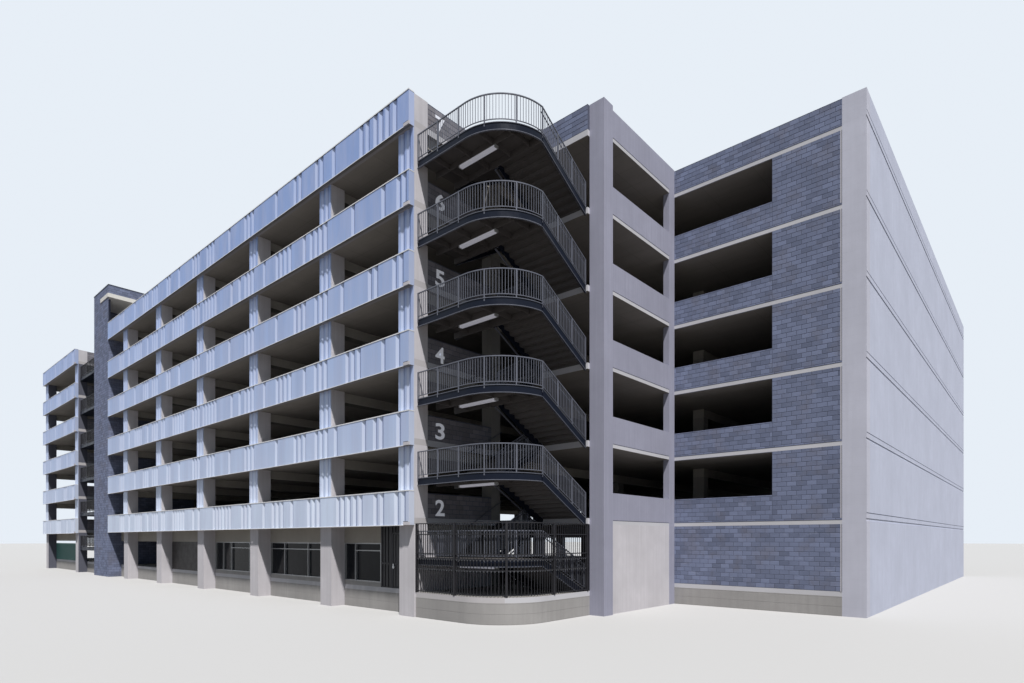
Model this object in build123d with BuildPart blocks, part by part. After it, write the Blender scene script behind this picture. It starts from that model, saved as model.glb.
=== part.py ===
from build123d import *
from math import cos, radians, sin, tan
import os

# Multi storey car park, modelled at half its real size.
# Every length is in millimetres of the half-size model, so 500 is one metre of the real building.
# The origin lies on the ground under the middle of the building's box.
# +X runs along the street to the right, +Y runs from the street into the building, +Z is up.

# Heights
PLINTH_HEIGHT = 500  # ground floor above the lowest ground, which is at the left end
GROUND_SLAB = 100
FIRST_STOREY = 1500
STOREY = 1600
UPPER_DECKS = 6  # levels 2 to 6 and the roof
DECK_THICKNESS = 125
BEAM_DROP = 225
GUARD_HEIGHT = 530  # top of each spandrel above its deck
SPANDREL_DROP = 145  # underside of each spandrel below its deck
BLOCK_GUARD_HEIGHT = 515
SILL_WALL_HEIGHT = 530
TOWER_RISE = 2150  # top of the lift tower above the roof deck
TOWER_PARAPET = 350
TOWER_ROOF = 160

# Lengths along the street, from the left end to the blank wall at the right
WEST_WING_LENGTH = 6450
WEST_STAIR_WIDTH = 3050
TOWER_WIDTH = 2050
MAIN_FACADE = 19700
CORNER_BAY = 3025
BAY = 3650
PIER_WIDTH = 475
STAIR_BAY_WIDTH = 2445
NOTCH_WIDTH = 2720  # corner pier to the side face of the notch
RIGHT_WING_WIDTH = 6835  # corner pier to the blank wall
RIGHT_PIER_WIDTH = 440
WING_OPENING = 2300

# Depths from the pier fronts
BUILDING_DEPTH = 24000
PIER_DEPTH = 355
STAIR_BAY_DEPTH = 2550
STAIR_PIER_FRONT = 2620
STAIR_PIER_DEPTH = 335
STAIR_PIER_PROUD = 75
NOTCH_DEPTH = 5850
WEST_STAIR_DEPTH = 3250
RIGHT_PIER_DEPTH = 300
NOTCH_COLUMN_DEPTH = 275

# Walls, columns and beams
CONCRETE_WALL = 150
BLOCK_WALL = 100
PLINTH_WALL = 200
COLUMN = 300
FOOTING = 600
BEAM_WIDTH = 300
SPANDREL_WALL = 65
TOWER_WALL = 150
TOWER_RECESS = 25  # tower front behind the face of the metal bands
TOWER_CORNER_CUT = 275  # open corner of the tower above the roof deck
TOWER_ROOF_EDGE = 1050  # length of the roof's white edge along the street
FOOT_REBATE = 15  # shadow groove at the foot of the notch spandrels
DECK_BAND_HEIGHT = 50  # recessed bands across the blank wall, one at each deck
DECK_BAND_DEPTH = 10

# Folded metal sheet
SHEET_DEPTH = 75
GROOVE_DEPTH = 55
GROOVE_WIDTH = 110
GROOVE_SPACING = 200
CLADDING_DEPTH = 60
CLADDING_GROOVES = 2

# Steel stairs
FENCE_FRONT = 40  # front of the stair pad and its fence behind the pier fronts
LANDING_FRONT = 80
LANDING_DEPTH = 1060
LANDING_RADIUS = 1060
LANDING_THICKNESS = 150
LANDING_WIDTH = 2400
STAIR_WELL = 100
RISERS = 10
TREAD_THICKNESS = 25
STRINGER_WIDTH = 25
STRINGER_DEPTH = 160
FLOOR_LANDING_DEPTH = 700
RAIL_HEIGHT = 535
RAIL = 20
BOTTOM_RAIL_GAP = 50
PICKET = 12
PICKET_SPACING = 700
PANEL_GAP = 0.3
CURVED_PANELS = 4  # guard panels round the quarter circle of a landing
LIGHT_LENGTH = 1000
LIGHT_WIDTH = 85
LIGHT_HEIGHT = 50

# Street level
HEADER_HEIGHT = 375
WALL_THICKNESS = 100
CURB_HEIGHT = 100
FRAME = 25
FRAME_DEPTH = 50
SHOP_PANES = 3
TRANSOM_HEIGHT = 780
GLASS = 12
GRILLE_THICKNESS = 20
SCREEN_HEIGHT = 850
SCREEN_THICKNESS = 30
GATE_WIDTH = 680
GATE_SIDE_WIDTH = 333  # fixed barred panel beside the leaf
GATE_HEIGHT = 1180
GATE_POST = 30
GATE_BAR = 20
GATE_BAR_SPACING = 110
GATE_RAIL_HEIGHT = 520
GATE_CLEARANCE = 6
HANDLE_LENGTH = 65
HANDLE_THICKNESS = 12
KNUCKLE_RADIUS = 8  # eight-sided knuckles, to their corners
KNUCKLE_HEIGHT = 60
KNUCKLE_PLACES = (0.12, 0.5, 0.88)  # shares of the leaf's height
FENCE_HEIGHT = 1385
FENCE_RAILS = (40, 675)
FENCE_PICKET_SPACING = 480

# Positions worked out from the sizes above
length = WEST_WING_LENGTH + WEST_STAIR_WIDTH + TOWER_WIDTH + MAIN_FACADE + RIGHT_WING_WIDTH
band_projection = SPANDREL_WALL + SHEET_DEPTH
band_front_y = -(BUILDING_DEPTH + band_projection) / 2
street_y = band_front_y + band_projection
back_y = street_y + BUILDING_DEPTH
deck_back_y = back_y - SPANDREL_WALL
pier_back_y = street_y + PIER_DEPTH
right_x = length / 2
wall_inner_x = right_x - CONCRETE_WALL
right_pier_x = right_x - RIGHT_PIER_WIDTH
corner_x = right_x - RIGHT_WING_WIDTH
tower_right_x = corner_x - MAIN_FACADE
tower_left_x = tower_right_x - TOWER_WIDTH
wing_right_x = tower_left_x - WEST_STAIR_WIDTH
left_x = wing_right_x - WEST_WING_LENGTH
deck_left_x = left_x + SPANDREL_WALL
stair_right_x = corner_x + STAIR_BAY_WIDTH
notch_x = corner_x + NOTCH_WIDTH
notch_inner_x = notch_x - CONCRETE_WALL
notch_wall_x = notch_x - WALL_THICKNESS
notch_y = street_y + NOTCH_DEPTH
notch_column_y = notch_y - NOTCH_COLUMN_DEPTH
right_wall_y = notch_y + RIGHT_PIER_DEPTH
stair_bay_y = street_y + STAIR_BAY_DEPTH
stair_pier_y = street_y + STAIR_PIER_FRONT
stair_pier_back_y = stair_pier_y + STAIR_PIER_DEPTH
west_stair_y = street_y + WEST_STAIR_DEPTH
fence_front_y = street_y + FENCE_FRONT
landing_front_y = street_y + LANDING_FRONT
landing_back_y = landing_front_y + LANDING_DEPTH
opening_right_x = notch_x + WING_OPENING

deck_tops = [PLINTH_HEIGHT + FIRST_STOREY + STOREY * level for level in range(UPPER_DECKS)]
floor_tops = [PLINTH_HEIGHT] + deck_tops[:-1]
landing_tops = [top - STOREY / 2 for top in deck_tops]
roof_top = deck_tops[-1]
parapet_top = roof_top + GUARD_HEIGHT
level_names = ["level_2", "level_3", "level_4", "level_5", "level_6", "roof"]

street_pier_rights = [corner_x, corner_x - CORNER_BAY]
while street_pier_rights[-1] - BAY - PIER_WIDTH > tower_right_x:
    street_pier_rights.append(street_pier_rights[-1] - BAY)
wing_pier_rights = [wing_right_x, deck_left_x + PIER_WIDTH]
pier_rights = street_pier_rights + wing_pier_rights
notch_line_x = notch_inner_x - BEAM_WIDTH / 2
column_lines = [x - PIER_WIDTH / 2 for x in pier_rights] + [notch_line_x]
column_rows = [street_y + BUILDING_DEPTH / 3, street_y + BUILDING_DEPTH * 2 / 3]
facades = ((tower_right_x, corner_x), (left_x, wing_right_x))
gate_bay = 3 * GATE_POST + GATE_SIDE_WIDTH + GATE_WIDTH + 2 * GATE_CLEARANCE
gate_left_x = corner_x - PIER_WIDTH - gate_bay
ground_wall_top = deck_tops[0] - DECK_THICKNESS
header_bottom = deck_tops[0] - SPANDREL_DROP - HEADER_HEIGHT


def block(x0, x1, y0, y1, z0, z1, mode=Mode.ADD):
    """A straight-sided piece between two opposite corners."""
    with Locations(((x0 + x1) / 2, (y0 + y1) / 2, (z0 + z1) / 2)):
        Box(x1 - x0, y1 - y0, z1 - z0, mode=mode)


def save(builder, name):
    """Name the finished piece and write it to its own file."""
    builder.part.label = name
    export_step(builder.part, f"parts/{name}.step")


def outline(*points):
    """A closed plan or profile through the given corners."""
    with BuildSketch() as plan:
        with BuildLine():
            Polyline(*points, close=True)
        make_face()
    return plan.sketch


def deck_outline():
    """Plan of a deck: recesses for both stairs and the tower, a notch at the right."""
    return outline(
        (deck_left_x, street_y),
        (wing_right_x, street_y),
        (wing_right_x, west_stair_y),
        (tower_right_x, west_stair_y),
        (tower_right_x, street_y),
        (corner_x, street_y),
        (corner_x, stair_bay_y),
        (stair_right_x, stair_bay_y),
        (stair_right_x, stair_pier_back_y),
        (notch_x, stair_pier_back_y),
        (notch_x, notch_column_y),
        (notch_inner_x, notch_column_y),
        (notch_inner_x, notch_y),
        (right_pier_x, notch_y),
        (right_pier_x, right_wall_y),
        (wall_inner_x, right_wall_y),
        (wall_inner_x, deck_back_y),
        (deck_left_x, deck_back_y),
    )


def rounded_landing(left, right, front, back, radius):
    """Plan of a landing whose street corner at the right is a quarter circle."""
    middle = ((left + right) / 2, (front + back) / 2)
    with BuildSketch() as plan:
        with Locations(middle):
            Rectangle(right - left, back - front)
        with Locations((right - radius / 2, front + radius / 2)):
            Rectangle(radius, radius, mode=Mode.SUBTRACT)
        with Locations((right - radius, front + radius)):
            Circle(radius)
        with Locations(middle):
            Rectangle(right - left, back - front, mode=Mode.INTERSECT)
    return plan.sketch


def ground_outline():
    """Plan of the ground floor: it follows the shop line and carries the stair pad."""
    with BuildSketch() as plan:
        add(outline(
            (deck_left_x, pier_back_y),
            (tower_left_x, pier_back_y),
            (tower_left_x, west_stair_y),
            (tower_right_x, west_stair_y),
            (tower_right_x, pier_back_y),
            (corner_x, pier_back_y),
            (corner_x, stair_bay_y),
            (stair_right_x, stair_bay_y),
            (stair_right_x, stair_pier_back_y),
            (notch_wall_x, stair_pier_back_y),
            (notch_wall_x, notch_column_y),
            (notch_inner_x, notch_column_y),
            (notch_inner_x, notch_y),
            (right_pier_x, notch_y),
            (right_pier_x, right_wall_y),
            (wall_inner_x, right_wall_y),
            (wall_inner_x, deck_back_y),
            (deck_left_x, deck_back_y),
        ))
        add(rounded_landing(corner_x, stair_right_x, fence_front_y, stair_bay_y, LANDING_RADIUS))
    return plan.sketch


def base():
    """Walls and footings that run down to the lowest ground, and the slab on them."""
    underside = PLINTH_HEIGHT - GROUND_SLAB
    with BuildPart() as walls:
        with BuildSketch():
            add(ground_outline())
            offset(amount=-PLINTH_WALL, kind=Kind.INTERSECTION, mode=Mode.SUBTRACT)
        extrude(amount=underside)
    save(walls, "base_walls")

    inner_lines = [x for x in column_lines if x - FOOTING / 2 > deck_left_x + PLINTH_WALL]
    with BuildPart() as footings:
        with BuildSketch():
            with Locations(*[(x, y) for x in inner_lines for y in column_rows]):
                Rectangle(FOOTING, FOOTING)
        extrude(amount=underside)
    save(footings, "column_footings")

    with BuildPart() as slab:
        with BuildSketch(Plane.XY.offset(underside)):
            add(ground_outline())
        extrude(amount=GROUND_SLAB)
    save(slab, "ground_floor_slab")


def decks():
    """The upper parking decks and the roof deck."""
    for name, top in zip(level_names, deck_tops):
        with BuildPart() as deck:
            with BuildSketch(Plane.XY.offset(top - DECK_THICKNESS)):
                add(deck_outline())
            extrude(amount=DECK_THICKNESS)
        save(deck, f"deck_{name}")


def frame():
    """Street piers, rear piers, columns and the beams that run from front to back."""
    soffits = [top - DECK_THICKNESS for top in deck_tops]
    beam_bottoms = [soffit - BEAM_DROP for soffit in soffits]
    street_places = [(x - PIER_WIDTH / 2, street_y + PIER_DEPTH / 2) for x in pier_rights]
    rear_places = [(x, deck_back_y - PIER_DEPTH / 2) for x in column_lines]
    column_places = [(x, y) for x in column_lines for y in column_rows]
    column_places.append((corner_x - COLUMN / 2, stair_bay_y - COLUMN / 2))

    with BuildPart() as street_piers:
        for bottom, top in zip([0] + deck_tops, soffits + [parapet_top]):
            with BuildSketch(Plane.XY.offset(bottom)):
                with Locations(*street_places):
                    Rectangle(PIER_WIDTH, PIER_DEPTH)
            extrude(amount=top - bottom)
    save(street_piers, "street_piers")

    with BuildPart() as rear_piers:
        for bottom, top in zip(floor_tops, soffits):
            with BuildSketch(Plane.XY.offset(bottom)):
                with Locations(*rear_places):
                    Rectangle(PIER_WIDTH, PIER_DEPTH)
            extrude(amount=top - bottom)
    save(rear_piers, "rear_piers")

    with BuildPart() as columns:
        for bottom, top in zip(floor_tops, beam_bottoms):
            with BuildSketch(Plane.XY.offset(bottom)):
                with Locations(*column_places):
                    Rectangle(COLUMN, COLUMN)
            extrude(amount=top - bottom)
    save(columns, "columns")

    beam_back_y = deck_back_y - PIER_DEPTH
    with BuildPart() as beams:
        for bottom in beam_bottoms:
            with BuildSketch(Plane.XY.offset(bottom)):
                for x in column_lines:
                    front_y = column_rows[0] - COLUMN / 2 if x == notch_line_x else pier_back_y
                    with Locations((x, (front_y + beam_back_y) / 2)):
                        Rectangle(BEAM_WIDTH, beam_back_y - front_y)
            extrude(amount=BEAM_DROP)
    save(beams, "floor_beams")


def spandrels():
    """Concrete upstands on the street, at the back and on the left end."""
    with BuildPart() as street:
        for top in deck_tops:
            for x0, x1 in facades:
                block(x0, x1, street_y - SPANDREL_WALL, street_y, top - SPANDREL_DROP, top + GUARD_HEIGHT)
    save(street, "street_spandrels")

    with BuildPart() as rear:
        for top in deck_tops:
            block(left_x, wall_inner_x, deck_back_y, back_y, top - SPANDREL_DROP, top + GUARD_HEIGHT)
    save(rear, "rear_spandrels")

    with BuildPart() as left_end:
        for top in deck_tops:
            block(left_x, deck_left_x, street_y, deck_back_y, top - SPANDREL_DROP, top + GUARD_HEIGHT)
    save(left_end, "left_end_spandrels")


def groove_centers(x0, x1, level):
    """Places of the grooves: a pair at each pier and one in each bay, shifted from level to level."""
    piers = sorted(x - PIER_WIDTH / 2 for x in pier_rights if x0 < x <= x1)
    centers = [left + (right - left) * (0.3 + 0.1 * (level % 5)) for left, right in zip(piers, piers[1:])]
    centers += [x + side * GROOVE_SPACING / 2 for x in piers for side in (-1, 1)]
    return sorted(centers)


def folded_outline(x0, x1, back, depth, centers):
    """Plan of a folded sheet: flat fields on its outer face, V grooves between them."""
    front = back - depth
    points = [(x0, back), (x0, front)]
    for x in centers:
        points += [
            (x - GROOVE_WIDTH / 2, front),
            (x, front + GROOVE_DEPTH),
            (x + GROOVE_WIDTH / 2, front),
        ]
    return outline(*points, (x1, front), (x1, back))


def folded_metal():
    """Folded metal bands along every street spandrel, and the same sheet on the piers."""
    sheet_back = street_y - SPANDREL_WALL
    for level, top in enumerate(deck_tops):
        with BuildPart() as band:
            with BuildSketch(Plane.XY.offset(top - SPANDREL_DROP)):
                for x0, x1 in facades:
                    add(folded_outline(x0, x1, sheet_back, SHEET_DEPTH, groove_centers(x0, x1, level)))
            extrude(amount=SPANDREL_DROP + GUARD_HEIGHT)
        save(band, f"metal_band_{level_names[level]}")

    spacing = PIER_WIDTH / CLADDING_GROOVES
    with BuildPart() as cladding:
        for floor, top in zip(deck_tops, deck_tops[1:]):
            bottom = floor + GUARD_HEIGHT
            with BuildSketch(Plane.XY.offset(bottom)):
                for x in pier_rights:
                    grooves = [x - spacing * (step + 0.5) for step in reversed(range(CLADDING_GROOVES))]
                    add(folded_outline(x - PIER_WIDTH, x, street_y, CLADDING_DEPTH, grooves))
            extrude(amount=top - SPANDREL_DROP - bottom)
    save(cladding, "pier_cladding")


def notch():
    """Concrete frame on the side of the notch: two piers and a spandrel at each deck."""
    with BuildPart() as piers:
        block(
            stair_right_x, notch_x + STAIR_PIER_PROUD, stair_pier_y, stair_pier_back_y,
            0, parapet_top,
        )
        block(notch_inner_x, notch_x, notch_column_y, notch_y, 0, parapet_top)
    save(piers, "notch_piers")

    rebate_x = notch_x - FOOT_REBATE
    with BuildPart() as side:
        with BuildSketch(Plane.XZ.offset(-notch_column_y)):
            for top in deck_tops:
                add(outline(
                    (notch_inner_x, top), (rebate_x, top), (rebate_x, top + FOOT_REBATE),
                    (notch_x, top + FOOT_REBATE), (notch_x, top + GUARD_HEIGHT),
                    (notch_inner_x, top + GUARD_HEIGHT),
                ))
        extrude(amount=notch_column_y - stair_pier_back_y)
    save(side, "notch_spandrels")


def banded_wall(inner_x, front_y, back_y):
    """A stretch of the blank wall, with a shallow recessed band across its face at each deck."""
    floor_x = right_x - DECK_BAND_DEPTH
    face = []
    for top in deck_tops:
        low = top - DECK_BAND_HEIGHT - FOOT_REBATE
        high = top - FOOT_REBATE
        face += [(right_x, low), (floor_x, low), (floor_x, high), (right_x, high)]
    with BuildPart() as wall:
        with BuildSketch(Plane.XZ.offset(-back_y)):
            add(outline((inner_x, 0), (right_x, 0), *face, (right_x, parapet_top), (inner_x, parapet_top)))
        extrude(amount=back_y - front_y)
    return wall


def right_wing():
    """Blank concrete side wall, its corner pier and the block infill of the wing's front."""
    save(banded_wall(wall_inner_x, right_wall_y, back_y), "right_wall")
    save(banded_wall(right_pier_x, notch_y, right_wall_y), "right_corner_pier")

    wall_back = notch_y + BLOCK_WALL
    with BuildPart() as sills:
        for top in deck_tops[:-1]:
            block(notch_inner_x, opening_right_x, notch_y, wall_back, top, top + SILL_WALL_HEIGHT)
        block(notch_inner_x, right_pier_x, notch_y, wall_back, roof_top, roof_top + BLOCK_GUARD_HEIGHT)
        parapet_left = corner_x + (LANDING_WIDTH + STAIR_WELL) / 2
        block(
            parapet_left, stair_right_x, stair_bay_y, stair_bay_y + BLOCK_WALL,
            roof_top, roof_top + BLOCK_GUARD_HEIGHT,
        )
    save(sills, "block_sill_walls")

    with BuildPart() as panels:
        for floor, top in zip(deck_tops, deck_tops[1:]):
            block(opening_right_x, right_pier_x, notch_y, wall_back, floor, top - DECK_THICKNESS)
        block(notch_inner_x, right_pier_x, notch_y, wall_back, PLINTH_HEIGHT, ground_wall_top)
    save(panels, "block_wall_panels")


def stair_side_walls():
    """Block guard walls beside both stairs, and the concrete walls at ground level."""
    side_column_y = stair_bay_y - COLUMN
    with BuildPart() as guards:
        for top in deck_tops:
            for x, end_y in ((corner_x, side_column_y), (wing_right_x, west_stair_y)):
                block(x - BLOCK_WALL, x, pier_back_y, end_y, top, top + BLOCK_GUARD_HEIGHT)
    save(guards, "stair_side_block_walls")

    with BuildPart() as ground_wall:
        block(
            corner_x - WALL_THICKNESS, corner_x, pier_back_y, side_column_y,
            PLINTH_HEIGHT, ground_wall_top - BEAM_DROP,
        )
        block(
            notch_wall_x, notch_x, stair_pier_back_y, notch_column_y,
            0, ground_wall_top,
        )
    save(ground_wall, "ground_side_walls")


def tower():
    """Block lift tower with an open corner at the roof deck, a white-edged roof and a parapet."""
    front = band_front_y + TOWER_RECESS
    roof_bottom = roof_top + TOWER_RISE - TOWER_PARAPET - TOWER_ROOF
    roof_edge_x = tower_right_x - TOWER_ROOF_EDGE
    inner_left_x = tower_left_x + TOWER_WALL
    inner_back_y = west_stair_y - TOWER_WALL
    center = ((tower_left_x + tower_right_x) / 2, (front + west_stair_y) / 2)
    plan = (TOWER_WIDTH, west_stair_y - front)
    with BuildPart() as walls:
        with BuildSketch():
            with Locations(center):
                Rectangle(*plan)
                Rectangle(plan[0] - 2 * TOWER_WALL, plan[1] - 2 * TOWER_WALL, mode=Mode.SUBTRACT)
        extrude(amount=roof_bottom + TOWER_ROOF)
        block(
            tower_right_x - TOWER_CORNER_CUT, tower_right_x, front, inner_back_y,
            roof_top, roof_bottom, mode=Mode.SUBTRACT,
        )
        block(
            roof_edge_x, tower_right_x, front, inner_back_y,
            roof_bottom, roof_bottom + TOWER_ROOF, mode=Mode.SUBTRACT,
        )
    save(walls, "tower_walls")

    with BuildPart() as roof:
        with BuildSketch(Plane.XY.offset(roof_bottom)):
            add(outline(
                (roof_edge_x, band_front_y),
                (tower_right_x + TOWER_RECESS, band_front_y),
                (tower_right_x + TOWER_RECESS, inner_back_y),
                (inner_left_x, inner_back_y),
                (inner_left_x, front + TOWER_WALL),
                (roof_edge_x, front + TOWER_WALL),
            ))
        extrude(amount=TOWER_ROOF)
    save(roof, "tower_roof")

    with BuildPart() as parapet:
        with BuildSketch(Plane.XY.offset(roof_bottom + TOWER_ROOF)):
            with Locations(center):
                Rectangle(*plan)
                Rectangle(plan[0] - 2 * BLOCK_WALL, plan[1] - 2 * BLOCK_WALL, mode=Mode.SUBTRACT)
        extrude(amount=TOWER_PARAPET)
    save(parapet, "tower_parapet")


def stair(prefix, left, width, flight_back_y):
    """Treads and stringers of a switchback stair, which climbs away from the deck and back."""
    flight_width = (width - STAIR_WELL) / 2
    tread_width = flight_width - 2 * STRINGER_WIDTH
    run = flight_back_y - landing_back_y
    going = run / (RISERS - 1)
    flights = []
    for floor, top in zip(floor_tops, deck_tops):
        middle = top - STOREY / 2
        flights.append((left + width - flight_width, flight_back_y, floor, -1, middle - floor))
        flights.append((left, landing_back_y, middle, 1, top - middle))

    treads_at = []
    for x, y, z, direction, climb in flights:
        for step in range(1, RISERS):
            treads_at.append((
                x + flight_width / 2,
                y + direction * going * (step - 0.5),
                z + climb * step / RISERS - TREAD_THICKNESS / 2,
            ))
    with BuildPart() as treads:
        with Locations(*treads_at):
            Box(tread_width, going, TREAD_THICKNESS)
    save(treads, f"{prefix}_treads")

    with BuildPart() as stringers:
        for x, y, z, direction, climb in flights:
            end_y = y + direction * run
            foot = (y, z - STRINGER_DEPTH)
            if z == PLINTH_HEIGHT:
                foot = (y + direction * run * STRINGER_DEPTH / climb, z)
            side = outline(foot, (end_y, z + climb - STRINGER_DEPTH), (end_y, z + climb), (y, z))
            for edge in (x, x + flight_width - STRINGER_WIDTH):
                with BuildSketch(Plane.YZ.offset(edge)):
                    add(side)
                extrude(amount=STRINGER_WIDTH)
    save(stringers, f"{prefix}_stringers")
    return flights


def slanted(x0, x1, low, high, slope):
    """Profile between two uprights whose bottom and top follow a slope through the origin."""
    return outline(
        (x0, slope * x0 + low), (x1, slope * x1 + low),
        (x1, slope * x1 + high), (x0, slope * x0 + high),
    )


def flat_guard(run, rise, rails, spacing):
    """Profile of a guard panel: rails that follow a slope, end posts and upright pickets."""
    slope = rise / run
    count = max(1, round(run / spacing))
    with BuildSketch() as panel:
        for rail in rails:
            add(slanted(0, run, rail - RAIL / 2, rail + RAIL / 2, slope))
        for x in (0, run - RAIL):
            add(slanted(x, x + RAIL, 0, rails[-1], slope))
        for step in range(1, count):
            x = run * step / count - PICKET / 2
            add(slanted(x, x + PICKET, rails[0], rails[-1], slope))
    return panel.sketch


def curved_guard_panel(radius, rails, spacing):
    """One of the straight panels that follow a quarter circle round the origin, on its -Y side."""
    half = radians(45 / CURVED_PANELS)
    width = 2 * (radius * sin(half) - RAIL * tan(half)) - PANEL_GAP
    with BuildPart() as panel:
        with BuildSketch(Plane.XZ.offset(radius * cos(half) - RAIL)):
            with Locations((-width / 2, 0)):
                add(flat_guard(width, 0, rails, spacing))
        extrude(amount=RAIL)
    return panel.part


def panel_places(center, base):
    """Where the straight panels of a quarter circle stand, from the -Y side towards +X."""
    sweep = 90 / CURVED_PANELS
    return [Location((*center, base), (0, 0, sweep * (index + 0.5))) for index in range(CURVED_PANELS)]


def corner_stair():
    """Black steel stair beside the corner pier, with round-cornered landings."""
    landing_right = corner_x + LANDING_WIDTH
    flights = stair("corner_stair", corner_x, LANDING_WIDTH, stair_bay_y)
    flight_width = (LANDING_WIDTH - STAIR_WELL) / 2

    with BuildPart() as landings:
        for top in landing_tops:
            with BuildSketch(Plane.XY.offset(top - LANDING_THICKNESS)):
                add(rounded_landing(
                    corner_x, landing_right, landing_front_y, landing_back_y, LANDING_RADIUS,
                ))
            extrude(amount=LANDING_THICKNESS)
    save(landings, "corner_stair_landings")

    rails = (BOTTOM_RAIL_GAP, RAIL_HEIGHT - RAIL / 2)
    center = (landing_right - LANDING_RADIUS, landing_front_y + LANDING_RADIUS)
    curved = curved_guard_panel(LANDING_RADIUS, rails, PICKET_SPACING)
    straight = flat_guard(center[0] - corner_x - PANEL_GAP, 0, rails, PICKET_SPACING)
    with BuildPart() as guards:
        for top in landing_tops:
            with BuildSketch(Plane.XZ.offset(-landing_front_y - RAIL)):
                with Locations((corner_x, top)):
                    add(straight)
            extrude(amount=RAIL)
            with Locations(*panel_places(center, top)):
                add(curved)
    save(guards, "corner_stair_landing_guards")

    run = stair_bay_y - landing_back_y
    with BuildPart() as flight_guards:
        for x, y, z, direction, climb in flights:
            start = min(y, y + direction * run)
            rise = climb * direction
            low = z if direction > 0 else z + climb
            with BuildSketch(Plane.YZ.offset(x + flight_width - RAIL)):
                with Locations((start, low)):
                    add(flat_guard(run, rise, rails, PICKET_SPACING))
            extrude(amount=RAIL)
    save(flight_guards, "corner_stair_flight_guards")

    light_y = landing_front_y + LANDING_DEPTH / 2
    with BuildPart() as lights:
        with Locations(*[
            (corner_x + LANDING_WIDTH / 2, light_y, top - LANDING_THICKNESS - LIGHT_HEIGHT / 2)
            for top in landing_tops
        ]):
            Box(LIGHT_LENGTH, LIGHT_WIDTH, LIGHT_HEIGHT)
    save(lights, "corner_stair_lights")


def west_stair():
    """Plain steel stair between the tower and the left wing."""
    flight_back_y = west_stair_y - FLOOR_LANDING_DEPTH
    stair("west_stair", wing_right_x, WEST_STAIR_WIDTH, flight_back_y)

    with BuildPart() as landings:
        for top in landing_tops:
            block(
                wing_right_x, tower_left_x, landing_front_y, landing_back_y,
                top - LANDING_THICKNESS, top,
            )
        for top in deck_tops:
            block(
                wing_right_x, tower_left_x, flight_back_y, west_stair_y,
                top - LANDING_THICKNESS, top,
            )
    save(landings, "west_stair_landings")

    rails = (BOTTOM_RAIL_GAP, RAIL_HEIGHT - RAIL / 2)
    guard = flat_guard(WEST_STAIR_WIDTH, 0, rails, PICKET_SPACING * 2)
    with BuildPart() as guards:
        for top in landing_tops:
            with BuildSketch(Plane.XZ.offset(-landing_front_y - RAIL)):
                with Locations((wing_right_x, top)):
                    add(guard)
            extrude(amount=RAIL)
    save(guards, "west_stair_landing_guards")


def security_fence():
    """Tall picket fence around the foot of the corner stair."""
    rails = FENCE_RAILS + (FENCE_HEIGHT - RAIL / 2,)
    center = (stair_right_x - LANDING_RADIUS, fence_front_y + LANDING_RADIUS)
    panel_width = (center[0] - corner_x) / 2
    straight = flat_guard(panel_width - PANEL_GAP, 0, rails, FENCE_PICKET_SPACING)
    curved = curved_guard_panel(LANDING_RADIUS, rails, FENCE_PICKET_SPACING)
    side_run = stair_bay_y - center[1]
    with BuildPart() as fence:
        with BuildSketch(Plane.XZ.offset(-fence_front_y - RAIL)):
            with Locations((corner_x, PLINTH_HEIGHT), (corner_x + panel_width, PLINTH_HEIGHT)):
                add(straight)
        extrude(amount=RAIL)
        with Locations(*panel_places(center, PLINTH_HEIGHT)):
            add(curved)
        with BuildSketch(Plane.YZ.offset(stair_right_x - RAIL)):
            with Locations((center[1] + PANEL_GAP, PLINTH_HEIGHT)):
                add(flat_guard(side_run - PANEL_GAP, 0, rails, FENCE_PICKET_SPACING))
        extrude(amount=RAIL)
    save(fence, "security_fence")


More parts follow.
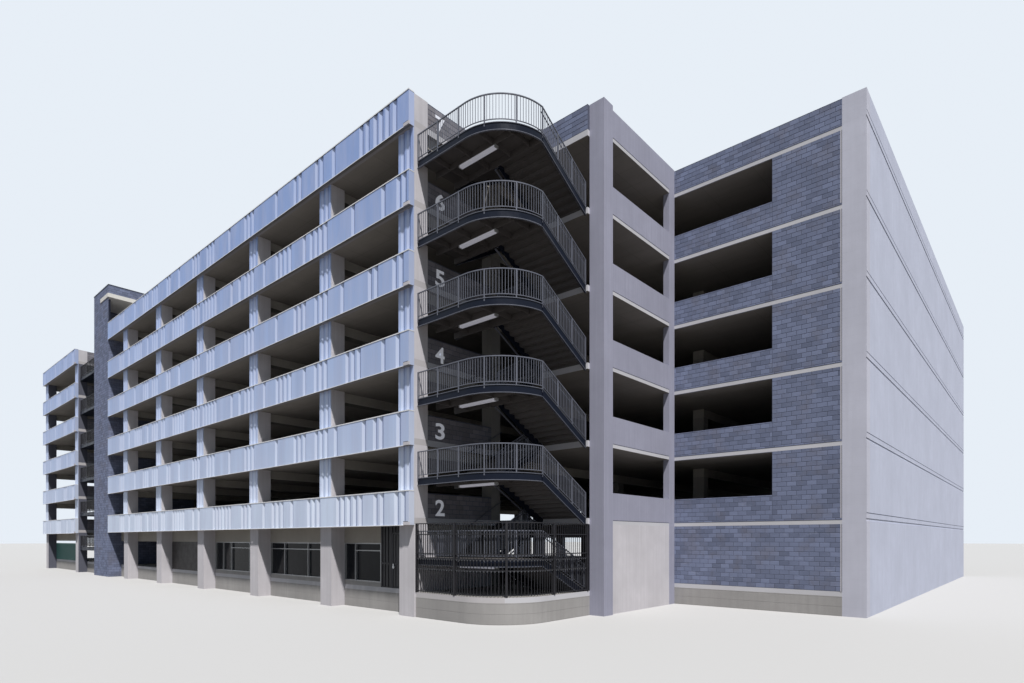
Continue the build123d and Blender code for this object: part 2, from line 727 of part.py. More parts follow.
def shopfronts():
    """Street level between the piers: headers, shopfronts, a roller grille and a screen."""
    rights = street_pier_rights
    bays = [(left, right - PIER_WIDTH) for left, right in zip(rights[1:], rights)]
    bays.append((tower_right_x, rights[-1] - PIER_WIDTH))
    wing_bay = (wing_pier_rights[1], wing_right_x - PIER_WIDTH)
    bays[0] = (bays[0][0], gate_left_x)
    wall_back = pier_back_y + WALL_THICKNESS

    with BuildPart() as headers:
        for x0, x1 in bays + [wing_bay]:
            block(x0, x1, pier_back_y, wall_back, header_bottom, ground_wall_top)
    save(headers, "shop_headers")

    with BuildPart() as curbs:
        for x0, x1 in bays[:3]:
            block(x0, x1, pier_back_y, wall_back, PLINTH_HEIGHT, PLINTH_HEIGHT + CURB_HEIGHT)
    save(curbs, "shop_curbs")

    sill = PLINTH_HEIGHT + CURB_HEIGHT
    with BuildPart() as frames:
        with BuildSketch(Plane.XZ.offset(-pier_back_y)):
            for x0, x1 in bays[:3]:
                with Locations(((x0 + x1) / 2, (sill + header_bottom) / 2)):
                    Rectangle(x1 - x0, header_bottom - sill)
                pane = (x1 - x0 - FRAME) / SHOP_PANES - FRAME
                lower = (sill + FRAME, PLINTH_HEIGHT + TRANSOM_HEIGHT)
                upper = (PLINTH_HEIGHT + TRANSOM_HEIGHT + FRAME, header_bottom - FRAME)
                for column in range(SHOP_PANES):
                    x = x0 + FRAME + pane / 2 + column * (pane + FRAME)
                    for z0, z1 in (lower, upper):
                        with Locations((x, (z0 + z1) / 2)):
                            Rectangle(pane, z1 - z0, mode=Mode.SUBTRACT)
        extrude(amount=-FRAME_DEPTH)
    save(frames, "shopfront_frames")

    glass_y = pier_back_y + FRAME_DEPTH
    with BuildPart() as glass:
        for x0, x1 in bays[:3]:
            block(x0, x1, glass_y, glass_y + GLASS, sill, header_bottom)
    save(glass, "shopfront_glass")

    with BuildPart() as grille:
        x0, x1 = bays[3]
        block(x0, x1, pier_back_y, pier_back_y + GRILLE_THICKNESS, PLINTH_HEIGHT, header_bottom)
    save(grille, "roller_grille")

    with BuildPart() as screen:
        block(
            wing_bay[0], wing_bay[1], pier_back_y, pier_back_y + SCREEN_THICKNESS,
            PLINTH_HEIGHT, PLINTH_HEIGHT + SCREEN_HEIGHT,
        )
    save(screen, "ground_screen")


def barred_frame(width, height):
    """Profile of a rectangular frame filled with upright bars, round its middle."""
    count = int(width / GATE_BAR_SPACING)
    with BuildSketch() as frame_profile:
        Rectangle(width, height)
        Rectangle(width - 2 * GATE_BAR, height - 2 * GATE_BAR, mode=Mode.SUBTRACT)
        with Locations(*[(width * (bar / count - 0.5), 0) for bar in range(1, count)]):
            Rectangle(PICKET, height)
    return frame_profile.sketch


def corner_gate():
    """Barred gate beside the corner pier: posts, fixed side panel and head, and the swinging leaf."""
    side_left = gate_left_x + GATE_POST
    side_right = side_left + GATE_SIDE_WIDTH
    x0 = side_right + GATE_POST
    x1 = corner_x - PIER_WIDTH - GATE_POST
    leaf_left = x0 + GATE_CLEARANCE
    leaf_right = x1 - GATE_CLEARANCE
    front = pier_back_y
    leaf_bottom = PLINTH_HEIGHT + 2 * GATE_CLEARANCE
    leaf_top = leaf_bottom + GATE_HEIGHT
    head_bottom = leaf_top + GATE_CLEARANCE
    head_height = ground_wall_top - head_bottom

    with BuildPart() as posts:
        for x in (gate_left_x, side_right, x1):
            block(x, x + GATE_POST, front, front + GATE_POST, PLINTH_HEIGHT, ground_wall_top)
    save(posts, "gate_posts")

    lock_rail_z = leaf_bottom + GATE_RAIL_HEIGHT
    side_height = ground_wall_top - PLINTH_HEIGHT
    with BuildPart() as fixed:
        with BuildSketch(Plane.XZ.offset(-front - GATE_POST)):
            with Locations(((x0 + x1) / 2, head_bottom + head_height / 2)):
                add(barred_frame(x1 - x0, head_height))
            with Locations(((side_left + side_right) / 2, PLINTH_HEIGHT + side_height / 2)):
                add(barred_frame(GATE_SIDE_WIDTH, side_height))
            with Locations(((side_left + side_right) / 2, lock_rail_z)):
                Rectangle(GATE_SIDE_WIDTH, 2 * GATE_BAR)
        extrude(amount=GATE_POST)
    save(fixed, "gate_head")

    leaf_y = front + (GATE_POST - GATE_BAR) / 2
    hinge_x = x1 + KNUCKLE_RADIUS / 2
    hinge_y = front - KNUCKLE_RADIUS - PANEL_GAP
    strap = KNUCKLE_RADIUS * 0.4
    with BuildPart() as leaf:
        with BuildSketch(Plane.XZ.offset(-leaf_y - GATE_BAR)):
            with Locations(((leaf_left + leaf_right) / 2, (leaf_bottom + leaf_top) / 2)):
                add(barred_frame(GATE_WIDTH, GATE_HEIGHT))
            with Locations(((leaf_left + leaf_right) / 2, lock_rail_z)):
                Rectangle(GATE_WIDTH, 2 * GATE_BAR)
        extrude(amount=GATE_BAR)
        block(
            leaf_left, leaf_left + HANDLE_LENGTH, leaf_y - GATE_BAR, leaf_y,
            lock_rail_z, lock_rail_z + HANDLE_THICKNESS,
        )
        for share in KNUCKLE_PLACES:
            z = leaf_bottom + GATE_HEIGHT * share
            with BuildSketch(Plane.XY.offset(z - KNUCKLE_HEIGHT / 2)):
                add(outline(
                    (leaf_right - GATE_BAR, leaf_y), (leaf_right - GATE_BAR, hinge_y - strap),
                    (hinge_x, hinge_y - strap), (hinge_x, hinge_y + strap),
                    (leaf_right, hinge_y + strap), (leaf_right, leaf_y),
                ))
                with Locations((hinge_x, hinge_y)):
                    RegularPolygon(KNUCKLE_RADIUS, 8)
            extrude(amount=KNUCKLE_HEIGHT)
    save(leaf, "corner_gate_leaf")


os.makedirs("parts", exist_ok=True)
base()
decks()
frame()
spandrels()
folded_metal()
notch()
right_wing()
stair_side_walls()
tower()
corner_stair()
west_stair()
security_fence()
shopfronts()
corner_gate()
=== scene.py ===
import math

import bpy
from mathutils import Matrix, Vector


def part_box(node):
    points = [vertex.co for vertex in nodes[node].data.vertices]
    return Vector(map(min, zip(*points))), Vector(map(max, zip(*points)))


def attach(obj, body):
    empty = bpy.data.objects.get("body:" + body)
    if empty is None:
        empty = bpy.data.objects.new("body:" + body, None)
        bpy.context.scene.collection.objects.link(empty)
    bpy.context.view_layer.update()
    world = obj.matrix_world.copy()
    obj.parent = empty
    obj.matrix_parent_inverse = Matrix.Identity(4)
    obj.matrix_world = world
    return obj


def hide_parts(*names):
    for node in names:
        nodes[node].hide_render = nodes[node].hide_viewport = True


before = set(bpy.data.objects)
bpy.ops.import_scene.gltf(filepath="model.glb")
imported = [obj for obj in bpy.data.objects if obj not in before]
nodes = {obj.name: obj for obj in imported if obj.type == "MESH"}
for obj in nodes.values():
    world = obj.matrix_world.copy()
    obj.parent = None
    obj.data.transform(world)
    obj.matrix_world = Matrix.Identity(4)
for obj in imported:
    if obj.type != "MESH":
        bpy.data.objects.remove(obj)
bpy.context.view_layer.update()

# Multi storey car park at half its real size: 0.5 m here is one metre of the real building.
# Every length is in metres of the half-size model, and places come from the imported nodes.

# Camera, in pixels of the 1024 by 683 photograph
IMAGE_WIDTH = 1024
IMAGE_HEIGHT = 683
FOCAL_PIXELS = 605.0
HORIZON_ROW = 539.1
SENSOR_WIDTH = 36.0  # millimetres
CAMERA_PLACE = (21.747, -19.7115, 1.5685)
CAMERA_HEADING = 131.605  # degrees from +X towards +Y
CLIP_END = 400.0

# Studio: the key light comes from where the shadows in the photograph point back to
SUN_DIRECTION = (0.388, -0.287, 0.876)
SUN_STRENGTH = 5.6
SUN_SPREAD = 2.5  # degrees, which softens the edges of the shadows
SUN_COLOR = (1.0, 0.97, 0.93)
SKY_COLOR = (0.60, 0.79, 1.0)
SKY_STRENGTH = 0.225
BACKDROP_COLOR = (0.80, 0.86, 0.93)
FLOOR_REACH = 250.0
FLOOR_COLOR = (0.417, 0.417, 0.421)
FLOOR_BOUNCE = (0.179, 0.167, 0.154)  # what the floor throws back up on the building

# Masonry blocks
COURSE = 0.1
BLOCK_LENGTH = 0.2
JOINT = 0.008
BLOCK_PROUD = 0.003
BLOCK_EDGE = 0.003
SMALLEST_BLOCK = 3 * BLOCK_EDGE
PARAPET_CAP_LIP = 0.014
PARAPET_CAP_THICKNESS = 0.022

# Concrete edges and the thin lines on the walls
FILM = 0.001  # what painted lines and joints stand off their wall
SHADOW_LINE = 0.010
DECK_COVER = 0.04  # facings reach this far below a deck's top
DECK_EDGE = 0.125
DECK_STRIP_PROUD = 0.002
REVEAL_PROUD = 0.006
REVEAL_WIDTH = 0.020
FACING_PROUD = 0.004
FACING_LAP = 0.03  # what a notch facing reaches up its spandrel
WALL_LINE_RISE = 0.085  # dark line across the blank wall, above the recessed band of each deck
WALL_LINE_HEIGHT = 0.015

# Folded metal sheet
FOLD_WIDTH = 0.155
FOLD_DEPTH = 0.028
FOLD_PITCH = 0.22
FOLD_GAP = 0.02  # least flat sheet between two folds and at the right end
FOLD_MARGIN = 0.03  # least flat sheet at the left end
CLADDING_FRONT = 0.022
CLADDING_FOLD_WIDTH = 0.13
CLADDING_FOLD_DEPTH = 0.020
CLADDING_FOLDS = (0.30, 0.70)  # shares of a pier's width
PALEST_HEIGHT = 2.5  # painted shade and sky reflection turn the sheets bluer above this height, over the rise below
BLUEST_RISE = 7.5

# Caps, ledges and end brackets of the metal bands
BAND_CAP_LIP = 0.007
BAND_CAP_THICKNESS = 0.022
LEDGE_LIP = 0.008
LEDGE_DEPTH = 0.012
LEDGE_THICKNESS = 0.016
END_PLATE = 0.004
BRACKET_WIDTH = 0.17
BRACKET_HEIGHT = 0.06
BRACKET_DEPTH = 0.03
BRACKET_PROUD = 0.002
BRACKET_DROP = 0.004
BRACKET_LINE = 0.012
BRACKET_LINE_DEPTH = 0.01
BRACKET_LINE_END = 0.02

# Folds of the bays at the corner, placed one by one from the photograph, in metres left of the corner
CORNER_FOLDS = {
    "roof": (4.19, 3.43, 3.21, 2.70, 1.61, 1.385, 1.10, 0.90, 0.685, 0.435, 0.315),
    "level_6": (3.67, 3.45, 3.25, 3.035, 1.925, 0.825, 0.315, 0.13),
    "level_5": (3.46, 3.24, 3.02, 2.35, 1.30, 1.08, 0.45, 0.23),
    "level_4": (3.48, 3.26, 3.04, 2.15, 1.93, 1.71, 0.83, 0.34),
    "level_3": (3.45, 3.23, 3.01, 2.62, 1.52, 1.12, 0.90, 0.32),
    "level_2": (
        10.35, 9.225, 9.0, 8.78, 8.56, 8.34, 8.12, 7.33, 7.11, 6.87, 6.07, 5.56, 5.32, 5.09, 4.595,
        3.79, 3.565, 3.35, 2.525, 2.325, 2.095, 1.86, 1.645, 1.105, 0.875, 0.385, 0.165,
    ),
}
# Groups of folds in the other bays: the place of each group's middle in its bay, and its count
FOLD_RHYTHMS = (
    ((0.24, 1), (0.52, 4), (0.80, 1)),
    ((0.30, 3), (0.66, 1)),
    ((0.22, 2), (0.60, 5)),
    ((0.42, 1), (0.74, 3)),
    ((0.28, 5), (0.70, 1), (0.84, 1)),
    ((0.36, 2), (0.62, 1)),
)

# Railings
RAIL_HEIGHT = 0.535
TOP_RAIL = 0.020
BOTTOM_RAIL = 0.014
BOTTOM_RAIL_GAP = 0.05
PICKET = 0.009
PICKET_SPACING = 0.0575
POST = 0.022
POST_SPACING = 0.55
POST_FOOT = 0.06  # what posts reach below the floor
GUARD_INSET = 0.012
ARC_STEPS = 24

# Steel stairs
HALF_STOREY = 0.8
HANDRAIL = 0.016
HANDRAIL_HEIGHT = 0.44
HANDRAIL_INSET = 0.045
STRINGER = 0.025
STRINGER_DEPTH = 0.16
FLANGE = 0.012
FLANGE_WIDTH = 0.034
FLANGE_LIP = 0.008
PLATE = 0.010
RISER_HEIGHT = 0.08
LANDING_PLATE = 0.018
JOIST = 0.030
JOIST_PLACES = (0.42, 1.02, 1.62, 2.10)  # from the left end of a landing
JOIST_LIFT = 0.02
JOIST_CLEARANCE = 0.04  # from the outer edge of a landing
BACK_JOIST_INSET = 0.05
CROSS_JOIST_PLACE = 0.50  # from the front of a landing
CROSS_JOIST_GAP = 0.25  # between its right end and the side of the landing
LIGHT_CAP = 0.02
LIGHT_LIP = 0.003
LIGHT_TRAY = 0.008

# Security fence
FENCE_RADIUS = 1.06
FENCE_RAILS = (0.025, 0.475, 0.675, 0.775, 1.15)
FENCE_PICKET = 0.011
FENCE_PICKET_SPACING = 0.07
FENCE_PICKET_FOOT = 0.012
FENCE_POST = 0.042
FENCE_POST_SPACING = 1.25
COLLAR_HEIGHTS = (0.475, 0.675)
COLLAR_WIDTH = 1.9 * FENCE_PICKET
COLLAR_DROP = 0.014
COLLAR_RISE = 0.004

# Street level
SLAT_PITCH = 0.036
SLAT_HEIGHT = 0.6 * SLAT_PITCH
SLAT_PROUD = 0.008
RIB_PITCH = 0.11
RIB = 0.012
SCREEN_CAP_FRONT = 0.016
SCREEN_CAP_BACK = 0.006
SCREEN_CAP_DROP = 0.03
SCREEN_CAP_RISE = 0.012
FRAME_BAR = 0.022
TRANSOM_DROP = 0.184
MULLION_SHARES = ((0.30,), (0.24, 0.62), (0.18, 0.36, 0.74))  # from the right bay to the left
TRANSOM_PANES = ((1,), (0, 1, 2), (2, 3))

# Corner gate
LEAF_WIDTH = 0.68
LEAF_GAP = 0.012
GATE_SETBACK = 0.005  # from the front of the posts to the front of the bars
MESH_INSET = 0.01
MESH_SETBACK = 0.012
MESH_THICKNESS = 0.003
STILE_INSET = 0.003
STILE_WIDTH = 0.015
STILE_PROUD = 0.003
LOCK_HEIGHT = 0.52
# Lock plate, spindle and lever: opposite corners, from the leaf's left edge at the lock's height
LOCK_PARTS = (
    ((0.022, -0.006, -0.105), (0.062, 0.0, 0.004)),
    ((0.036, -0.020, -0.075), (0.050, -0.006, -0.061)),
    ((0.036, -0.028, -0.078), (0.115, -0.020, -0.058)),
)

# Level numbers on the block walls beside the corner stair
NUMERAL_HEIGHT = 0.34
NUMERAL_WIDTH = 0.255
NUMERAL_START = 0.56
NUMERAL_FOOT = 0.05
NUMERAL_PROUD = 0.004
NUMERAL_DEPTH = 0.5  # half the depth of a digit before it is scaled to the size above
NUMERAL_WEIGHT = 0.02

LEVELS = ["level_2", "level_3", "level_4", "level_5", "level_6", "roof"]
NEAR = 0.01  # heights or depths closer than this count as the same


# Node trees

class Tree:
    """Short calls for building a node tree."""

    def __init__(self, tree):
        self.tree = tree

    def node(self, kind, inputs, **settings):
        made = self.tree.nodes.new(kind)
        for key, value in settings.items():
            setattr(made, key, value)
        for key, value in inputs.items():
            self.set(made.inputs[key], value)
        return made

    def set(self, socket, value):
        if isinstance(value, bpy.types.NodeSocket):
            self.tree.links.new(value, socket)
        elif isinstance(value, tuple) and len(value) == 3 and socket.type == "RGBA":
            socket.default_value = (*value, 1.0)
        else:
            socket.default_value = value

    def math(self, operation, a, b=0.0, clamp=False):
        made = self.node("ShaderNodeMath", {0: a, 1: b}, operation=operation, use_clamp=clamp)
        return made.outputs[0]

    def seen(self):
        """1 for the rays that show a thing: from the camera, off a gloss or through glass."""
        path = self.node("ShaderNodeLightPath", {}).outputs
        share = path["Is Camera Ray"]
        for kind in ("Is Glossy Ray", "Is Transmission Ray"):
            share = self.math("MAXIMUM", share, path[kind])
        return share


class Finish(Tree):
    """One material, with masks and colours placed in the model's own frame."""

    def __init__(self, name):
        self.material = bpy.data.materials.new(name)
        self.material.use_nodes = True
        super().__init__(self.material.node_tree)
        self.shader = self.tree.nodes["Principled BSDF"]
        self.place = self.node("ShaderNodeTexCoord", {}).outputs["Object"]

    def axis(self, letter, vector=None):
        made = self.node("ShaderNodeSeparateXYZ", {"Vector": vector or self.place})
        return made.outputs[letter]

    def facing(self, letter):
        """How far the surface faces along an axis, from -1 to 1."""
        return self.axis(letter, self.node("ShaderNodeNewGeometry", {}).outputs["Normal"])

    # Mask of the faces that point down, where painted shade is laid
    def underside_shade(self):
        return self.math("LESS_THAN", self.facing("Z"), -0.5)

    def stretched(self, scale):
        return self.node("ShaderNodeMapping", {"Vector": self.place, "Scale": scale}).outputs[0]

    def noise(self, scale, detail=4.0, roughness=0.55, vector=None):
        made = self.node("ShaderNodeTexNoise", {
            "Vector": vector or self.place, "Scale": scale, "Detail": detail, "Roughness": roughness,
        })
        return made.outputs["Fac"]

    def ramp(self, value, black, white):
        """A grey that runs from black at one value to white at another."""
        made = self.node("ShaderNodeValToRGB", {"Fac": value})
        stops = sorted([(black, 0.0), (white, 1.0)])
        for point, (place, shade) in zip(made.color_ramp.elements, stops):
            point.position = place
            point.color = (shade, shade, shade, 1.0)
        return made.outputs["Color"]

    def stains(self, black, white, scale, detail, roughness=0.55, vector=None):
        """A soft mask of noise, black and white at the given values of it."""
        return self.ramp(self.noise(scale, detail, roughness, vector), black, white)

    def mix(self, share, a, b, kind="MIX"):
        made = self.node("ShaderNodeMix", {0: share, 6: a, 7: b}, data_type="RGBA", blend_type=kind)
        return made.outputs[2]

    def cover(self, base, mask, share, color):
        """The base with a share of a colour over it where the mask is white."""
        return self.mix(self.math("MULTIPLY", mask, share), base, color)

    def bump(self, height, distance, strength, normal=None):
        inputs = {"Height": height, "Distance": distance, "Strength": strength}
        if normal:
            inputs["Normal"] = normal
        return self.node("ShaderNodeBump", inputs).outputs[0]

    def glow(self, color, strength):
        self.set(self.shader.inputs["Emission Color"], color)
        self.set(self.shader.inputs["Emission Strength"], strength)

    def finish(self, color, roughness, metallic=0.0, normal=None, gloss=0.5):
        inputs = self.shader.inputs
        self.set(inputs["Base Color"], color)
        self.set(inputs["Roughness"], roughness)
        self.set(inputs["Metallic"], metallic)
        self.set(inputs["Specular IOR Level"], gloss)
        if normal:
            self.set(inputs["Normal"], normal)
        return self.material


def shade(color, factor):
    return tuple(min(1.0, channel * factor) for channel in color)


# Finishes

def concrete(
    name, color, boards=0.0, board_mark=1.0, streaks=0.5, strips=0.0, contrast=1.0, side_shade_limits=None,
):
    """Cast concrete: cloudy stains, streaks that run down, form board lines, small pores and painted shade
    on faces that point down.

    The last argument is an x and a z: left of the one and below the other, the sides that face right get a
    bluish painted shade.
    """
    t = Finish(name)
    cloud = t.stains(0.30, 0.72, 0.9, 6.0)
    patch = t.stains(0.35, 0.70, 4.5, 5.0, 0.65)
    run = t.stains(0.42, 0.66, 2.2, 5.0, 0.6, t.stretched((5.0, 5.0, 0.22)))
    grain = t.noise(75.0, 3.0, 0.7)
    base = t.mix(cloud, shade(color, 1.0 - 0.17 * contrast), shade(color, 1.0 + 0.10 * contrast))
    base = t.cover(base, patch, 0.35, shade(color, 0.86))
    base = t.cover(base, run, 0.45 * streaks, shade(color, 0.74))
    base = t.cover(base, grain, 0.16, shade(color, 1.25))
    if strips:
        upright = t.stains(0.40, 0.60, 1.0, 2.0, 0.5, t.stretched((26.0, 26.0, 0.25)))
        base = t.cover(base, upright, 0.30 * strips, shade(color, 0.70))
    # Painted shade: faces that point down take 40 percent of the colour
    base = t.mix(t.underside_shade(), base, shade(color, 0.40))
    # Painted shade on the sides that face right, left of the given x and below the given z
    if side_shade_limits:
        painted_side_shade = t.math("GREATER_THAN", t.facing("X"), 0.5)
        for letter, limit in zip("XZ", side_shade_limits):
            painted_side_shade = t.math("MULTIPLY", painted_side_shade, t.math("LESS_THAN", t.axis(letter), limit))
        base = t.mix(painted_side_shade, base, (0.20, 0.215, 0.26), "MULTIPLY")
    pores = t.stains(0.30, 0.38, 170.0, 2.0, 0.5)
    height = t.math("ADD", t.math("MULTIPLY", grain, 0.5), t.math("MULTIPLY", pores, 0.5))
    normal = t.bump(height, 0.004, 0.35)
    if boards:
        wave = t.node("ShaderNodeTexWave", {
            "Vector": t.place, "Scale": 0.5 / boards, "Distortion": 0.15, "Detail": 1.0,
            "Detail Scale": 0.4,
        }, wave_type="BANDS", bands_direction="Z", wave_profile="SAW").outputs["Fac"]
        line = t.ramp(wave, 0.0, 0.05)
        base = t.cover(base, t.math("SUBTRACT", 1.0, line), 0.35 * board_mark, shade(color, 0.62))
        normal = t.bump(line, 0.004, 0.5 * board_mark, normal)
    return t.finish(base, t.math("ADD", 0.78, t.math("MULTIPLY", patch, 0.12)), normal=normal, gloss=0.15)


def deck_concrete():
    """Trowelled, tyre-marked floor on top, sheet-formed soffit below, kept dark as painted shade, and pale
    edges.
    """
    t = Finish("deck_concrete_finish")
    top_color = (0.300, 0.292, 0.287)
    # The soffit colour is darkened as painted shade under the decks
    shaded_soffit_color = (0.205, 0.190, 0.176)
    cloud = t.stains(0.30, 0.72, 0.55, 6.0, 0.6)
    sweep = t.stains(0.38, 0.70, 1.3, 6.0, 0.62, t.stretched((0.35, 1.6, 1.0)))
    grain = t.noise(80.0, 3.0, 0.7)
    top = t.mix(cloud, shade(top_color, 0.85), shade(top_color, 1.08))
    top = t.cover(top, sweep, 0.4, shade(top_color, 0.68))
    sheets = t.node("ShaderNodeTexBrick", {
        "Vector": t.place, "Scale": 1.0, "Mortar Size": 0.006, "Mortar Smooth": 0.3,
        "Brick Width": 1.2, "Row Height": 0.6, "Color1": (0.0, 0.0, 0.0), "Color2": (1.0, 1.0, 1.0),
        "Mortar": (0.5, 0.5, 0.5),
    }, offset=0.0).outputs
    soffit = t.mix(cloud, shade(shaded_soffit_color, 0.82), shade(shaded_soffit_color, 1.12))
    soffit = t.cover(soffit, sheets["Color"], 0.30, shade(shaded_soffit_color, 1.22))
    soffit = t.cover(soffit, sweep, 0.45, shade(shaded_soffit_color, 0.70))
    soffit = t.cover(soffit, sheets["Fac"], 0.6, shade(shaded_soffit_color, 0.55))
    up = t.facing("Z")
    base = t.mix(t.math("GREATER_THAN", up, 0.5), soffit, top)
    base = t.cover(base, grain, 0.12, (0.517, 0.500, 0.475))
    rim = t.mix(cloud, (0.483, 0.483, 0.517), (0.567, 0.567, 0.608))
    street_rim = t.mix(cloud, (0.417, 0.404, 0.421), (0.500, 0.483, 0.504))
    at_piers = t.math("LESS_THAN", t.axis("Y"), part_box("street_piers")[1].y)
    is_rim = t.math("LESS_THAN", t.math("ABSOLUTE", up), 0.5)
    base = t.mix(is_rim, base, t.mix(at_piers, rim, street_rim))
    return t.finish(base, 0.82, normal=t.bump(grain, 0.003, 0.3), gloss=0.15)


def masonry_block(name, color):
    """Pitted blocks whose tone varies from one to the next, with pale bloom and earthy stains."""
    t = Finish(name)
    tone = t.node("ShaderNodeNewGeometry", {}).outputs["Random Per Island"]
    base = t.mix(tone, shade(color, 0.70), shade(color, 1.25))
    bloom = t.stains(0.45, 0.75, 1.1, 6.0, 0.6)
    base = t.cover(base, bloom, 0.30, shade(color, 1.7))
    chalk = t.stains(0.60, 0.72, 3.4, 6.0, 0.7, t.stretched((1.0, 1.0, 2.2)))
    base = t.cover(base, chalk, 0.50, (0.267, 0.292, 0.383))
    earth = t.stains(0.50, 0.66, 2.1, 5.0, 0.65)
    base = t.cover(base, earth, 0.35, (0.138, 0.117, 0.113))
    pits = t.noise(120.0, 3.0, 0.75)
    base = t.cover(base, pits, 0.35, shade(color, 1.5))
    return t.finish(base, 0.9, normal=t.bump(pits, 0.003, 0.6), gloss=0.15)


def mortar():
    """Tinted mortar between the blocks, also laid on the painted shadow lines."""
    t = Finish("block_mortar_and_shadow_lines")
    color = (0.087, 0.096, 0.138)
    base = t.mix(t.noise(6.0), shade(color, 0.8), shade(color, 1.25))
    return t.finish(base, 0.95, normal=t.bump(t.noise(150.0), 0.002, 0.5), gloss=0.1)


def folded_metal():
    """Pale coated sheet with its own tone from sheet to sheet, bluer towards the roof as painted shade and
    sky reflection, with painted light and shade on its folds' flanks and painted shade underneath.
    """
    t = Finish("folded_metal_finish")
    # Painted shade and sky reflection: the sheets turn bluer and darker towards the roof
    height = t.math("DIVIDE", t.math("SUBTRACT", t.axis("Z"), PALEST_HEIGHT), BLUEST_RISE, clamp=True)
    base = t.mix(t.math("POWER", height, 0.6), (0.61, 0.70, 0.88), (0.265, 0.38, 0.70))
    tone = t.stains(0.65, 0.35, 2.4, 2.0, 0.5, t.stretched((1.0, 0.02, 0.02)))
    base = t.mix(tone, base, (0.86, 0.86, 0.88), "MULTIPLY")
    tint = t.stains(0.40, 0.62, 1.7, 3.0, 0.6, t.stretched((2.2, 0.5, 0.5)))
    base = t.cover(base, tint, 0.25, (0.470, 0.500, 0.690))
    dust = t.stains(0.48, 0.75, 3.0, 5.0, 0.6, t.stretched((9.0, 3.0, 0.35)))
    base = t.cover(base, dust, 0.12, (0.417, 0.425, 0.458))
    # Painted shade on the folds' flanks that face left, painted highlight on those that face right
    across = t.facing("X")
    base = t.mix(t.math("LESS_THAN", across, -0.1), base, (0.58, 0.62, 0.74), "MULTIPLY")
    base = t.cover(base, t.math("GREATER_THAN", across, 0.1), 0.22, (0.88, 0.89, 0.92))
    # Painted shade: faces that point down are nearly black
    base = t.mix(t.underside_shade(), base, (0.133, 0.129, 0.129))
    roughness = t.math("ADD", 0.34, t.math("MULTIPLY", dust, 0.2))
    ripple = t.noise(1.6, 2.0, 0.5, t.stretched((2.5, 1.0, 0.6)))
    normal = t.bump(ripple, 0.006, 0.25, t.bump(t.noise(40.0, 3.0), 0.001, 0.1))
    return t.finish(base, roughness, metallic=0.1, normal=normal, gloss=0.3)


def painted_steel(name, color, roughness=0.38, wear=0.3, gloss=0.2):
    """Painted steel with a soft sheen, dust on it and paler scuffs."""
    t = Finish(name)
    dust = t.stains(0.42, 0.78, 5.0, 5.0, 0.6)
    scuff = t.stains(0.60, 0.72, 38.0, 4.0, 0.7)
    base = t.cover(color, dust, 0.5 * wear, shade(color, 2.2))
    base = t.cover(base, scuff, 0.3 * wear, (0.183, 0.183, 0.192))
    rough = t.math("ADD", roughness, t.math("MULTIPLY", dust, 0.25))
    return t.finish(base, rough, metallic=0.1, normal=t.bump(t.noise(90.0), 0.0008, 0.2), gloss=gloss)


def plain_coating(name, color, roughness, metallic=0.0, underside_shade=1.0, glow=0.0):
    """A smooth coating with light soiling, which may take painted shade where it faces down, and may glow
    as painted light.
    """
    t = Finish(name)
    t.glow(color, glow)
    base = t.cover(color, t.stains(0.40, 0.75, 3.5, 5.0, 0.6), 0.3, shade(color, 0.78))
    # Painted shade on faces that point down
    if underside_shade < 1.0:
        base = t.mix(t.underside_shade(), base, shade(color, underside_shade))
    return t.finish(base, roughness, metallic=metallic, normal=t.bump(t.noise(60.0), 0.001, 0.15))


def tinted_glass():
    """Dark glass with a dusty film."""
    t = Finish("tinted_glass")
    film = t.stains(0.40, 0.80, 2.0, 5.0, 0.6)
    base = t.cover((0.012, 0.014, 0.018), film, 0.5, (0.03, 0.032, 0.036))
    return t.finish(base, t.math("ADD", 0.06, t.math("MULTIPLY", film, 0.12)), gloss=0.08)


def security_mesh():
    """Fine dark wire mesh behind the gate's bars."""
    t = Finish("security_mesh")
    wires = t.node("ShaderNodeTexBrick", {
        "Vector": t.node("ShaderNodeCombineXYZ", {0: t.axis("X"), 1: t.axis("Z")}).outputs[0],
        "Scale": 1.0, "Mortar Size": 0.003, "Brick Width": 0.016, "Row Height": 0.016,
    }, offset=0.0).outputs["Fac"]
    base = t.mix(wires, (0.004, 0.004, 0.005), (0.020, 0.020, 0.024))
    return t.finish(base, 0.6, normal=t.bump(wires, 0.002, 0.6))


def lamp_diffuser():
    """Milky plastic with a faint light of its own."""
    t = Finish("lamp_diffuser")
    t.glow((0.80, 0.80, 1.0), 0.16)
    return t.finish(t.mix(t.noise(9.0), (0.650, 0.667, 0.683), (0.733, 0.750, 0.767)), 0.35)


CAST_COLOR = (0.58, 0.565, 0.605)
CAST = concrete("cast_concrete_finish", CAST_COLOR, streaks=0.6, strips=0.5)
# The street piers take painted shade on their right-facing sides, left of the lift tower and below the roof
# deck
PIER = concrete(
    "street_pier_finish", CAST_COLOR, streaks=0.6, strips=0.5,
    side_shade_limits=(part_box("tower_walls")[0].x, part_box("deck_roof")[0].z),
)
NOTCH = concrete("notch_concrete_finish", (0.325, 0.33, 0.42), strips=0.5, contrast=0.7)
BOARDED = concrete("board_marked_concrete", (0.350, 0.333, 0.308), boards=0.15)
SHADED = concrete("inner_concrete_finish", (0.283, 0.271, 0.258), streaks=0.7)
PALE = concrete(
    "pale_concrete_finish", (0.53, 0.54, 0.635), boards=0.3, board_mark=0.3, streaks=0.4, contrast=0.6,
)
SMOOTH = concrete("smooth_concrete_finish", (0.508, 0.54, 0.665), streaks=0.45, contrast=0.5)
BASE = concrete("foundation_concrete", (0.350, 0.342, 0.342), boards=0.3, streaks=0.8)
DECK = deck_concrete()
BLOCK = masonry_block("block_face", (0.148, 0.172, 0.262))
